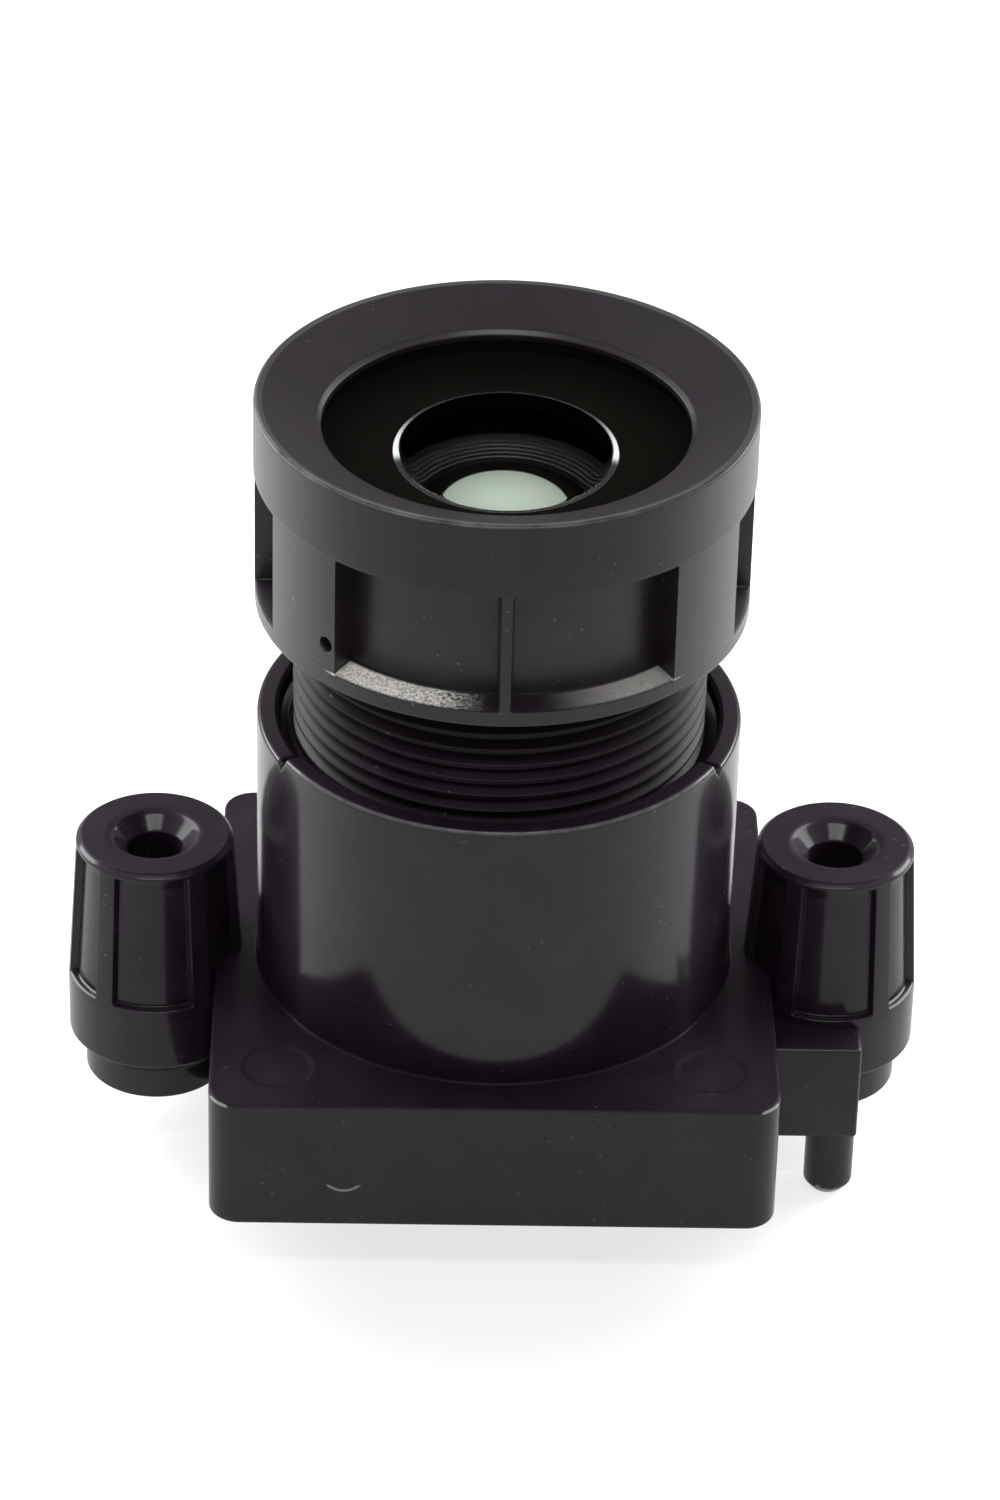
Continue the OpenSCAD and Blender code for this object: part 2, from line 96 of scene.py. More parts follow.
def smooth_step(x: Array, low: float, high: float) -> Array:
    """Rise from 0 at low to 1 at high along 3t^2 - 2t^3.

    Args:
        x: Where to read the curve.
        low: Value of x at which the curve is 0.
        high: Value of x at which the curve is 1. It may be smaller than low.

    Returns:
        The curve at each x.
    """
    t = np.clip((x - low) / (high - low), 0.0, 1.0)
    return t * t * (3.0 - 2.0 * t)


def soft_band(x: Array, low: float, high: float, soft_low: float, soft_high: float) -> Array:
    """1 from low to high and 0 outside. Each end is smooth, over its softness on both sides."""
    return smooth_step(x, low - soft_low, low + soft_low) * smooth_step(x, high + soft_high, high - soft_high)


def turn_between(angles: Array, middle: float) -> Array:
    """The shortest turn from middle to each angle, without its sign, in degrees."""
    return np.abs((angles - middle + 180.0) % FULL_TURN - 180.0)


def soft_line(corners: Sequence[Corner], closed: bool = False, steps: int = 5, hold: float = 0.04) -> Array:
    """A line through corners, each rounded by a parabola that touches both of its sides.

    A corner of radius R that turns by an angle a starts R tan(a / 2) before the corner and ends as far
    after it. Between them the point is (1-s)^2 A + 2s(1-s) P + s^2 B. A point is held on the straight
    just outside each curve, so that the flats shade flat.

    Args:
        corners: Radius from the axis, height and rounding of each corner. Rounding 0 is a plain point.
        closed: Whether the last corner joins the first.
        steps: Pieces in each rounded corner.
        hold: Distance of the held points from the curve.

    Returns:
        Points as rows of radius and height.
    """
    spots = np.array([c[:2] for c in corners], float)
    runs: List[Array] = []
    s = np.linspace(0.0, 1.0, steps + 1)[:, None]
    last = len(corners) - 1
    for i, (_, _, rounding) in enumerate(corners):
        here = spots[i]
        if rounding <= 0.0 or (not closed and i in (0, last)):
            runs.append(here[None, :])
            continue
        back, ahead = spots[i - 1] - here, spots[(i + 1) % len(corners)] - here
        back_len, ahead_len = np.linalg.norm(back), np.linalg.norm(ahead)
        back, ahead = back / back_len, ahead / ahead_len
        bend = math.pi - math.acos(float(np.clip(back @ ahead, -1.0, 1.0)))
        reach = min(rounding * math.tan(bend / 2.0), 0.45 * back_len, 0.45 * ahead_len)
        start, end = here + back * reach, here + ahead * reach
        curve = (1 - s) ** 2 * start + 2 * s * (1 - s) * here + s**2 * end
        before = start + back * min(hold, 0.3 * (back_len - reach))
        after = end + ahead * min(hold, 0.3 * (ahead_len - reach))
        runs.append(np.vstack([before[None, :], curve, after[None, :]]))
    return np.vstack(runs)


def arc_line(rim_r: float, rim_z: float, radius: float, bulge: float, steps: int) -> Array:
    """Points of a spherical lens face from its rim to the axis.

    The height at a distance r is rim_z + bulge (sqrt(R^2 - r^2) - sqrt(R^2 - rim_r^2)).

    Args:
        rim_r: Radius of the rim.
        rim_z: Height of the rim.
        radius: Radius of the sphere.
        bulge: 1 where the middle lies above the rim, -1 where it lies below.
        steps: Pieces between the rim and the axis.

    Returns:
        Points as rows of radius and height, the rim first.
    """
    r = rim_r * np.cos(np.linspace(0.0, math.pi / 2.0, steps + 1))
    z = rim_z + bulge * (np.sqrt(radius**2 - r**2) - math.sqrt(radius**2 - rim_r**2))
    return np.stack([r, z], axis=1)


def column_angles(even: int, edges: Sequence[float] = (), spread: float = 0.7, extra: int = 7) -> Array:
    """Angles of a grid's columns: even ones, and a close group across each edge.

    Args:
        even: Number of even columns.
        edges: Angles of the edges.
        spread: Half width of the group at an edge.
        extra: Columns in the group at an edge.

    Returns:
        Rising angles in [0, 360).
    """
    plain = np.arange(even) * FULL_TURN / even
    if not len(edges):
        return plain
    group = np.linspace(-spread, spread, extra)
    close = (np.asarray(edges, float)[:, None] + group[None, :]).ravel() % FULL_TURN
    gap = np.min(turn_between(plain[:, None], close[None, :]), axis=1)
    merged = np.sort(np.concatenate([plain[gap > spread / extra], close]))
    return merged[np.append(True, np.diff(merged) > 1e-3)]


def corner_angles(spread: float, count: int) -> Array:
    """A close group of angles round each corner of a square."""
    return np.concatenate([c + np.linspace(-spread, spread, count) for c in SQUARE_CORNERS])


def around(radius: Array, height: Array, angles: Array) -> Array:
    """Points at x = r sin a, y = -r cos a, z, for radii and heights on a grid of rows and columns.

    Args:
        radius: Distances from the axis.
        height: Heights.
        angles: Angle of each column, or of each point.

    Returns:
        Grid of rows, columns and coordinates.
    """
    radius, height, angles = np.broadcast_arrays(radius, height, np.atleast_2d(angles))
    a = np.radians(angles)
    return np.stack([radius * np.sin(a), -radius * np.cos(a), height], axis=2)


def shell(points: Array, loop_rows: bool) -> Shell:
    """Quads over a grid whose columns close round the axis.

    Args:
        points: Grid of rows, columns and coordinates.
        loop_rows: Whether the last row joins the first, as on a ring.

    Returns:
        Vertices and the corners of the quads.
    """
    rows, cols = points.shape[:2]
    index = np.arange(rows * cols).reshape(rows, cols)
    low = index if loop_rows else index[:-1]
    high = np.roll(index, -1, axis=0) if loop_rows else index[1:]
    quads = np.stack([low, np.roll(low, -1, axis=1), np.roll(high, -1, axis=1), high], axis=-1)
    return points.reshape(-1, 3), quads.reshape(-1, 4)


def turned(line: Array, count: int, ring: bool = True) -> Shell:
    """A line of radius and height turned about the axis: a ring, or a body whose ends lie on the axis."""
    return shell(around(line[:, :1], line[:, 1:], column_angles(count)), ring)


def square_reach(angles: Array, half: Array, corner: Array) -> Array:
    """Distance from the axis to a square with round corners, in each direction.

    On a flat it is half / m, with m the larger of the direction's two parts. At a corner it is the far
    root of the circle of the corner's radius about the corner's own centre.

    Args:
        angles: Directions in degrees, as a row.
        half: Half width of the square, as a column.
        corner: Radius of the corners, as a column.

    Returns:
        Distances, with a row for each half width.
    """
    a = np.radians(angles)
    parts = np.sort(np.abs(np.stack([np.sin(a), np.cos(a)])), axis=0)
    small, large = parts[0], parts[1]
    flat = half / large
    centre = half - corner
    both = centre * (small + large)
    root = np.sqrt(np.maximum(both**2 - 2.0 * centre**2 + corner**2, 0.0))
    return np.where(flat * small <= centre, flat, both + root)


def round_block(low: Sequence[float], high: Sequence[float], rounding: float, steps: int = 5) -> Shell:
    """A block with every edge rounded: each direction on a sphere, moved out to the corner that it faces.

    Args:
        low: Lowest corner.
        high: Highest corner.
        rounding: Radius of the edges.
        steps: Pieces in a quarter turn.

    Returns:
        Vertices and quads, closed at the top and the bottom by fans.
    """
    low_a, high_a = np.asarray(low, float), np.asarray(high, float)
    middle, core = (low_a + high_a) / 2.0, (high_a - low_a) / 2.0 - rounding
    part = np.linspace(0.0, math.pi / 2.0, steps + 1)
    turn = (part[None, :] + np.arange(4)[:, None] * math.pi / 2.0).ravel()
    side_x = np.repeat([1.0, -1.0, -1.0, 1.0], steps + 1)
    side_y = np.repeat([1.0, 1.0, -1.0, -1.0], steps + 1)
    rise = np.concatenate([part - math.pi / 2.0, part])
    side_z = np.repeat([-1.0, 1.0], steps + 1)
    x = np.cos(rise)[:, None] * np.cos(turn)[None, :] * rounding + side_x[None, :] * core[0]
    y = np.cos(rise)[:, None] * np.sin(turn)[None, :] * rounding + side_y[None, :] * core[1]
    z = np.broadcast_to((np.sin(rise) * rounding + side_z * core[2])[:, None], x.shape)
    grid = np.stack([x, y, z], axis=2)
    ends = np.zeros((2, 1, 3))
    ends[:, 0, 2] = [-core[2] - rounding, core[2] + rounding]
    fan = np.broadcast_to(ends, (2, len(turn), 3))
    return shell(np.concatenate([fan[:1], grid, fan[1:]]) + middle, False)


def helical_ridge(foot_r: float, crest_r: float, pitch: float, low_z: float, high_z: float,
                  per_turn: int = 96) -> Shell:
    """A thread ridge: a rounded V profile carried up a right-hand helix, fading out at both ends.

    A point of the profile at radius r and offset h lies at angle t at r, h + pitch t / 360. A crest
    passes the +X axis at each whole multiple of the pitch. The profile shrinks into the wall at the ends.

    Args:
        foot_r: Radius where the ridge meets its wall.
        crest_r: Radius of the crest, inside or outside the foot.
        pitch: Rise in one turn.
        low_z: Height where the ridge starts.
        high_z: Height where the ridge ends.
        per_turn: Pieces in one turn.

    Returns:
        Vertices and quads of the closed ridge.
    """
    turns = (high_z - low_z) / pitch
    t = np.linspace(low_z / pitch, high_z / pitch, int(turns * per_turn) + 1)
    out = 1.0 if crest_r > foot_r else -1.0
    tall = abs(crest_r - foot_r)
    # The profile's points, as shares of its height and of the pitch
    depth = np.array([-0.25, 0.0, 0.72, 0.93, 1.0, 0.93, 0.72, 0.0, -0.25]) * tall
    offset = np.array([-0.46, -0.43, -0.16, -0.095, 0.0, 0.095, 0.16, 0.43, 0.46]) * pitch
    ends = np.minimum(t - t[0], t[-1] - t)
    fade = smooth_step(ends, 0.0, 0.3)[None, :]
    shown = np.where(fade < 1e-6, 0.0, 1.0)
    r = foot_r + out * (depth[:, None] * fade - 0.05 * tall * (1.0 - fade))
    z = (t * pitch)[None, :] + offset[:, None] * (0.35 + 0.65 * fade) * shown
    r = np.where(shown > 0.0, r, foot_r - out * 0.25 * tall)
    a = 2.0 * math.pi * t[None, :]
    points = np.stack([r * np.cos(a), r * np.sin(a), np.broadcast_to(z, r.shape)], axis=2)
    rows, cols = points.shape[:2]
    index = np.arange(rows * cols).reshape(rows, cols)
    ahead = np.roll(index, -1, axis=0)
    quads = np.stack([index[:, :-1], index[:, 1:], ahead[:, 1:], ahead[:, :-1]], axis=-1)
    return points.reshape(-1, 3), quads.reshape(-1, 4)


def packed_box(node: str) -> Tuple[Array, Array]:
    """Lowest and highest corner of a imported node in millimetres."""
    low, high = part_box(node)
    return np.array(low) / MM, np.array(high) / MM


def make_piece(name: str, shells: Sequence[Shell], body: Body, node: str, finish: Finish) -> None:
    """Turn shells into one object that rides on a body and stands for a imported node.

    Args:
        name: Name of the piece.
        shells: Closed surfaces in millimetres.
        body: Body that the piece rides on.
        node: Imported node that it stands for, or helps to stand for.
        finish: Finish of the piece.
    """
    starts = np.cumsum([0] + [len(v) for v, _ in shells])
    verts = np.vstack([v for v, _ in shells]) * MM
    quads = np.vstack([q + s for (_, q), s in zip(shells, starts)])
    mesh = bpy.data.meshes.new(name)
    mesh.from_pydata(verts.tolist(), [], quads.tolist())
    work = bmesh.new()
    work.from_mesh(mesh)
    bmesh.ops.remove_doubles(work, verts=work.verts, dist=2e-7)
    bmesh.ops.dissolve_degenerate(work, dist=1e-8, edges=work.edges)
    bmesh.ops.recalc_face_normals(work, faces=work.faces)
    work.to_mesh(mesh)
    work.free()
    mesh.polygons.foreach_set("use_smooth", np.ones(len(mesh.polygons), bool))
    mesh.set_sharp_from_angle(angle=SHARP_EDGE)
    mesh.materials.append(finish)
    piece = bpy.data.objects.new(name, mesh)
    bpy.context.scene.collection.objects.link(piece)
    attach(piece, body.value)
    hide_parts(node)
    LOG.info("%s: %d faces on %s", name, len(mesh.polygons), body.value)


# Shader maths


class Wire:
    """A shader socket that takes part in Python arithmetic."""

    def __init__(self, graph: "Graph", socket: bpy.types.NodeSocket) -> None:
        """Keep the socket and the graph that it belongs to."""
        self.graph = graph
        self.socket = socket

    def _math(self, operation: str, first: "Value", second: "Value") -> "Wire":
        """Add a Math node that works on two values."""
        return self.graph.node("ShaderNodeMath", {"operation": operation}, {0: first, 1: second})

    def __add__(self, other: "Value") -> "Wire":
        """Add a value."""
        return self._math("ADD", self, other)

    def __radd__(self, other: "Value") -> "Wire":
        """Add to a value."""
        return self._math("ADD", other, self)

    def __sub__(self, other: "Value") -> "Wire":
        """Take a value away."""
        return self._math("SUBTRACT", self, other)

    def __rsub__(self, other: "Value") -> "Wire":
        """Take this from a value."""
        return self._math("SUBTRACT", other, self)

    def __mul__(self, other: "Value") -> "Wire":
        """Multiply by a value."""
        return self._math("MULTIPLY", self, other)

    def __rmul__(self, other: "Value") -> "Wire":
        """Multiply a value."""
        return self._math("MULTIPLY", other, self)

    def __truediv__(self, other: "Value") -> "Wire":
        """Divide by a value."""
        return self._math("DIVIDE", self, other)

    def __rtruediv__(self, other: "Value") -> "Wire":
        """Divide a value by this."""
        return self._math("DIVIDE", other, self)

    def __pow__(self, other: "Value") -> "Wire":
        """Raise to a power."""
        return self._math("POWER", self, other)

    def most(self, other: "Value") -> "Wire":
        """The larger of this and a value."""
        return self._math("MAXIMUM", self, other)

    def size(self) -> "Wire":
        """The value without its sign."""
        return self._math("ABSOLUTE", self, 0.0)

    def turn_from(self, other: "Value") -> "Wire":
        """Angle round the axis from the front, in radians, where this is x and the other value is y."""
        return self._math("ARCTAN2", self, 0.0 - other)

    def rise(self, low: float, high: float) -> "Wire":
        """Rise smoothly from 0 at low to 1 at high."""
        return self.graph.node(
            "ShaderNodeMapRange",
            {"interpolation_type": "SMOOTHSTEP"},
            {"Value": self, "From Min": low, "From Max": high},
        )

    def fall(self, low: float, high: float) -> "Wire":
        """Fall smoothly from 1 at low to 0 at high."""
        return 1.0 - self.rise(low, high)


Value = Union[Wire, float, Sequence[float]]


class Graph:
    """The node tree of one material or world."""

    def __init__(self, tree: bpy.types.NodeTree) -> None:
        """Empty the tree."""
        self.tree = tree
        tree.nodes.clear()

    def node(self, kind: str, settings: Optional[Dict[str, Any]] = None,
             inputs: Optional[Dict[Any, Value]] = None, output: Any = 0) -> Wire:
        """Add a node.

        Args:
            kind: Type of the node.
            settings: Its own settings, set before the sockets.
            inputs: Values or wires by socket name or number.
            output: Name or number of the socket to return.

        Returns:
            The chosen output.
        """
        made = self.tree.nodes.new(kind)
        for key, value in (settings or {}).items():
            setattr(made, key, value)
        for key, value in (inputs or {}).items():
            if isinstance(value, Wire):
                self.tree.links.new(value.socket, made.inputs[key])
            else:
                made.inputs[key].default_value = value
        return Wire(self, made.outputs[output])

    def place(self) -> Wire:
        """Object coordinates in millimetres."""
        spot = self.node("ShaderNodeTexCoord", output="Object")
        return self.node("ShaderNodeVectorMath", {"operation": "SCALE"}, {0: spot, "Scale": 1.0 / MM})

    def axes(self, spot: Wire) -> Tuple[Wire, ...]:
        """The three parts of a vector."""
        split = self.node("ShaderNodeSeparateXYZ", None, {0: spot})
        return tuple(Wire(self, output) for output in split.socket.node.outputs)

    def polar(self, spot: Wire) -> Tuple[Wire, Wire, Wire, Wire]:
        """The three parts of a vector, and its distance from the Z axis."""
        x, y, z = self.axes(spot)
        return x, y, z, (x * x + y * y) ** 0.5

    def noise(self, spot: Wire, scale: float, detail: float = 2.0, rough: float = 0.5) -> Wire:
        """Noise of a scale in waves per millimetre."""
        inputs = {"Vector": spot, "Scale": scale, "Detail": detail, "Roughness": rough}
        return self.node("ShaderNodeTexNoise", None, inputs)

    def tint(self, share: Value, low: Value, high: Value) -> Wire:
        """A colour between two colours."""
        first, second = (c if isinstance(c, Wire) else (*c, 1.0) for c in (low, high))
        return self.node("ShaderNodeMix", {"data_type": "RGBA"}, {0: share, 6: first, 7: second}, 2)

    def bump(self, height: Wire, strength: float, depth_mm: float) -> Wire:
        """A normal that follows a height."""
        inputs = {"Height": height, "Strength": strength, "Distance": depth_mm * MM}
        return self.node("ShaderNodeBump", None, inputs)

    def principled(self, inputs: Dict[str, Value]) -> Wire:
        """A Principled shader with these values at its sockets."""
        return self.node("ShaderNodeBsdfPrincipled", None, inputs)

    def mixed(self, share: Value, first: Wire, second: Wire) -> Wire:
        """A mix of two shaders."""
        return self.node("ShaderNodeMixShader", None, {0: share, 1: first, 2: second})

    def finish(self, surface: Wire, kind: str = "ShaderNodeOutputMaterial") -> None:
        """Send a shader to a new output node."""
        self.tree.links.new(surface.socket, self.tree.nodes.new(kind).inputs["Surface"])


def new_graph(name: str) -> Tuple[Finish, Graph]:
    """Start a material.

    Args:
        name: Name of the material.

    Returns:
        The new material and its empty graph.
    """
    material = bpy.data.materials.new(name)
    material.use_nodes = True
    return material, Graph(material.node_tree)


# Finishes


@dataclass(frozen=True)
class DullZone:
    """Part of a moulding with little polish, between two heights and two distances from the axis.

    It may also end at the sides of a square round the axis, or lie round a pair of axes to the left and
    right of it.
    """

    low_z: float
    high_z: float
    low_r: float
    high_r: float
    fade: float = 0.03
    depth: float = 0.9
    half_side: float = 20.0
    pair_x: float = 0.0

    def share(self, x: Wire, y: Wire, z: Wire) -> Wire:
        """How much of the polish is gone: the zone's depth inside it and 0 outside.

        Args:
            x: First object coordinate in millimetres.
            y: Second object coordinate.
            z: Height.

        Returns:
            Share of the polish that is gone.
        """
        radius = ((x.size() - self.pair_x) ** 2.0 + y * y) ** 0.5
        inside = x.size().most(y.size()).fall(self.half_side, self.half_side + self.fade)
        for value, low, high in ((z, self.low_z, self.high_z), (radius, self.low_r, self.high_r)):
            inside = inside * value.rise(low - self.fade, low) * value.fall(high, high + self.fade)
        return inside * self.depth


@dataclass(frozen=True)
class MouldedPlastic:
    """Black moulded plastic: a dull grained body under a polish, with a cloudy sheen and a little dust."""

    name: str
    colour: Colour = (0.0078, 0.0045, 0.0086)
    worn: Colour = (0.0110, 0.0071, 0.0118)
    rough: float = 0.5
    shine: float = 0.08
    polish: float = 0.5
    polish_rough: float = 0.15
    grain: float = 16.0
    grain_strength: float = 0.2
    dust: float = 0.12
    # Colour of dust; the holder and the cap also paint highlights in it.
    dust_and_glint_colour: Colour = (0.42, 0.41, 0.42)
    dull_zones: Tuple[DullZone, ...] = ()

    def marks(self, graph: Graph, spot: Wire) -> Tuple[Wire, Colour]:
        """Where the surface is marked, from 0 to 1, and the colour of the marks.

        Args:
            graph: Graph of the material.
            spot: Object coordinates in millimetres.

        Returns:
            Share of the mark's colour, and that colour.
        """
        fine = graph.noise(spot, 7.0, 1.0, 0.4).rise(0.72, 0.80)
        return fine * graph.noise(spot, 0.7, 2.0).rise(0.45, 0.62) * self.dust, self.dust_and_glint_colour

    def build(self) -> Finish:
        """Make the material.

        Returns:
            The new material.
        """
        material, graph = new_graph(self.name)
        spot = graph.place()
        x, y, z = graph.axes(spot)
        cloud = graph.noise(spot, 0.55, 4.0, 0.6)
        grain = graph.noise(spot, self.grain, 3.0, 0.65)
        share, mark = self.marks(graph, spot)
        body = graph.tint(cloud.rise(0.35, 0.7), self.colour, self.worn)
        coat: Value = self.polish + (cloud - 0.5) * 0.1
        for zone in self.dull_zones:
            coat = coat * (1.0 - zone.share(x, y, z))
        graph.finish(graph.principled({
            "Base Color": graph.tint(share, body, mark),
            "Roughness": self.rough + (cloud - 0.5) * 0.16 + (grain - 0.5) * 0.2,
            "Normal": graph.bump(grain + share * 0.6, self.grain_strength, 0.012),
            "Specular IOR Level": self.shine,
            "Coat Weight": coat * (1.0 - share),
            "Coat Roughness": self.polish_rough,
        }))
        return material


@dataclass(frozen=True)
class HolderPlastic(MouldedPlastic):
    """The holder's plastic, with the small pale crescent that the mould's gate left on the base's front.

    The tips of the locating pins are pale, and the edge of the rim and the two front corners of the base
    carry painted highlights.
    The dull zones are the top of the base, the tops and the sides of the posts, the rim and the funnels.
    """

    shine: float = 0.04
    polish: float = 0.55
    dull_zones: Tuple[DullZone, ...] = (
        DullZone(low_z=4.168, high_z=4.32, low_r=7.006, high_r=20.0, fade=0.012, half_side=8.2),
        DullZone(low_z=8.03, high_z=8.2, low_r=7.2, high_r=20.0),
        DullZone(low_z=-3.0, high_z=8.03, low_r=7.3, high_r=20.0, depth=0.2),
        DullZone(low_z=12.3, high_z=12.9, low_r=6.3, high_r=6.92, depth=0.75),
        DullZone(low_z=7.4, high_z=8.03, low_r=0.0, high_r=1.5, fade=0.1, depth=0.5, pair_x=10.0),
    )
    gate_x: float = -4.3
    gate_z: float = 1.86
    gate_r: float = 0.62
    front_y: float = -8.1
    tip_z: float = -2.2
    rim_z: float = 12.85
    barrel_r: float = 7.0
    base_h: float = 4.2
    corner_sum: float = 15.8

    def marks(self, graph: Graph, spot: Wire) -> Tuple[Wire, Colour]:
        """Dust, pale pin tips, painted highlights on the rim's edge and the base's front corners, and the
        crescent: the lower part of a thin circle on the front face.

        Args:
            graph: Graph of the material.
            spot: Object coordinates in millimetres.

        Returns:
            Share of the mark's colour, and that colour.
        """
        dust, colour = super().marks(graph, spot)
        x, y, z, radius = graph.polar(spot)
        patchy = graph.noise(spot, 3.0)
        off = ((x - self.gate_x) ** 2.0 + (z - self.gate_z) ** 2.0) ** 0.5
        line = (off - self.gate_r).size().fall(0.02, 0.06) * z.fall(self.gate_z - 0.46, self.gate_z - 0.4)
        crescent = line * y.fall(self.front_y - 0.05, self.front_y)
        tips = (z + patchy * 0.8).fall(self.tip_z + 0.55, self.tip_z + 0.75)
        # Painted highlight: a pale patchy line along the rim's outer edge.
        below_rim, inside = z - self.rim_z, radius - self.barrel_r
        rim = below_rim.rise(-0.13, -0.07) * inside.rise(-0.1, -0.04) * patchy
        # Painted highlight: pale spots on the top edge at the base's two front corners.
        below_top, front = z - self.base_h, y.fall(-1.0, 0.0)
        corner = (x.size() + y.size()).rise(self.corner_sum - 0.06, self.corner_sum) * front
        corner = corner * below_top.rise(-0.14, -0.1) * below_top.fall(-0.05, -0.02)
        return dust.most(crescent * 0.4).most(tips).most(rim * 0.3).most(corner * 0.6), colour


@dataclass(frozen=True)
class HousingPlastic(MouldedPlastic):
    """The housing's plastic, scuffed on the ledge under the front panels and painted bright there as a
    highlight, most of all on the left, where it is speckled; on the right it is a smooth painted sheen.

    The dull zone is the thread.
    """

    polish: float = 0.6
    polish_rough: float = 0.36
    dull_zones: Tuple[DullZone, ...] = (DullZone(low_z=7.0, high_z=16.3, low_r=0.0, high_r=6.1, depth=0.77),)
    ledge_z: float = 16.87
    wall_r: float = 6.24
    scuff_and_painted_sheen: Colour = (0.98, 0.95, 0.9)

    def marks(self, graph: Graph, spot: Wire) -> Tuple[Wire, Colour]:
        """Dust, and a painted highlight along the ledge from both ends of the front panels: bright scuff
        specks that thin out on the left, a smoother painted sheen on the right.

        Args:
            graph: Graph of the material.
            spot: Object coordinates in millimetres.

        Returns:
            Share of the mark's colour, and that colour.
        """
        dust, _ = super().marks(graph, spot)
        x, y, z, radius = graph.polar(spot)
        turn = x.turn_from(y)
        ledge = (z - self.ledge_z).size().fall(0.02, 0.04) * (radius - self.wall_r).rise(-0.05, 0.05)
        specks = graph.noise(spot, 11.0, 2.0, 0.7)
        glitter = graph.noise(spot, 13.0, 1.0, 0.5).rise(0.42, 0.6)
        # Painted highlight: speckled light at the left end of the ledge, and below it a smooth painted sheen
        # at the right end.
        left = turn.rise(-0.8, -0.7) * (specks - turn * 0.55).rise(0.45, 0.68) * turn.fall(-0.3, -0.05)
        left = left * (0.62 + glitter * 0.42)
        right = turn.fall(0.7, 0.8) * turn.rise(0.12, 0.6) * (0.2 + specks * 0.36)
        return dust.most(ledge * (left + right) * 0.97), self.scuff_and_painted_sheen


@dataclass(frozen=True)
class CapPlastic(MouldedPlastic):
    """The cap's plastic, with a patchy painted highlight along the front half of its top edge. The dull zone
    is the bezel.
    """

    shine: float = 0.12
    polish: float = 0.41
    polish_rough: float = 0.3
    dull_zones: Tuple[DullZone, ...] = (DullZone(low_z=21.5, high_z=23.0, low_r=5.33, high_r=6.84),)
    top_z: float = 22.8
    outer_r: float = 7.1

    def marks(self, graph: Graph, spot: Wire) -> Tuple[Wire, Colour]:
        """Dust, and patches of painted highlight along the outer edge that thin out towards the back and the
        right.

        Args:
            graph: Graph of the material.
            spot: Object coordinates in millimetres.

        Returns:
            Share of the mark's colour, and that colour.
        """
        dust, colour = super().marks(graph, spot)
        x, y, z, radius = graph.polar(spot)
        # Painted highlight: a pale patchy line along the top outer edge, in place of a glint.
        edge = (z - self.top_z).rise(-0.12, -0.06) * (radius - self.outer_r).rise(-0.14, -0.08)
        patchy = graph.noise(spot, 0.8, 3.0, 0.6).rise(0.25, 0.7)
        reach = y.fall(-3.0, 2.5) * (0.6 - x * 0.06)
        return dust.most(edge * patchy * reach * 0.45), colour


@dataclass(frozen=True)
class DullBlack:
    """Dead black film, anodised metal or rubber, with a faint grain that runs with the lathe or the press."""

    name: str
    colour: Colour = (0.012, 0.012, 0.013)
    rough: float = 0.7
    metallic: float = 0.0
    grain: float = 24.0
    shine: float = 0.3

    def build(self) -> Finish:
        """Make the material.

        Returns:
            The new material.
        """
        material, graph = new_graph(self.name)
        spot = graph.place()
        _, _, z, radius = graph.polar(spot)
        flat = graph.node("ShaderNodeCombineXYZ", None, {0: radius, 1: z, 2: 0.0})
        rings = graph.node("ShaderNodeTexWave", {"wave_type": "BANDS"},
                           {"Vector": flat, "Scale": 9.0, "Distortion": 1.2}, 1)
        grain = graph.noise(spot, self.grain, 2.0)
        lift = tuple(c * 1.7 for c in self.colour)
        graph.finish(graph.principled({
            "Base Color": graph.tint(grain.rise(0.35, 0.75), self.colour, lift),
            "Roughness": self.rough + (grain - 0.5) * 0.2 + (rings - 0.5) * 0.06,
            "Metallic": self.metallic,
            "Specular IOR Level": self.shine,
            "Normal": graph.bump(grain + rings * 0.4, 0.15, 0.008),
        }))
        return material


@dataclass(frozen=True)
class InkedSeat:
    """The seat of a glass: black ink outside a radius and below a height, and a bare lip inside the ink.

    The lip is polished bright at its two sides. Going from the front of the lip, at -1, to the back, at 1,
    the bright part begins and ends softly, each between two places.
    """

    ink_r: float
    lip_r: float
    high_z: float
    lip_share: float = 0.22
    fade_r: float = 0.02
    fade_z: float = 0.04
    bright_from: Tuple[float, float] = (-0.24, -0.06)
    bright_to: Tuple[float, float] = (0.1, 0.8)
    colour: Colour = (0.0052, 0.0042, 0.0032)

    def masks(self, graph: Graph, spot: Wire) -> Tuple[Wire, Wire, Wire]:
        """Where the glass is inked, where its bare lip lies, and where the lip is bright.

        Args:
            graph: Graph of the material.
            spot: Object coordinates in millimetres.

        Returns:
            The three shares, from 0 to 1.
        """
        _, y, z, radius = graph.polar(spot)
        below, back = z.fall(self.high_z - self.fade_z, self.high_z), y / radius
        inked, lip = (below * radius.rise(r, r + self.fade_r) for r in (self.ink_r, self.lip_r))
        return inked, lip, lip * back.rise(*self.bright_from) * back.fall(*self.bright_to)


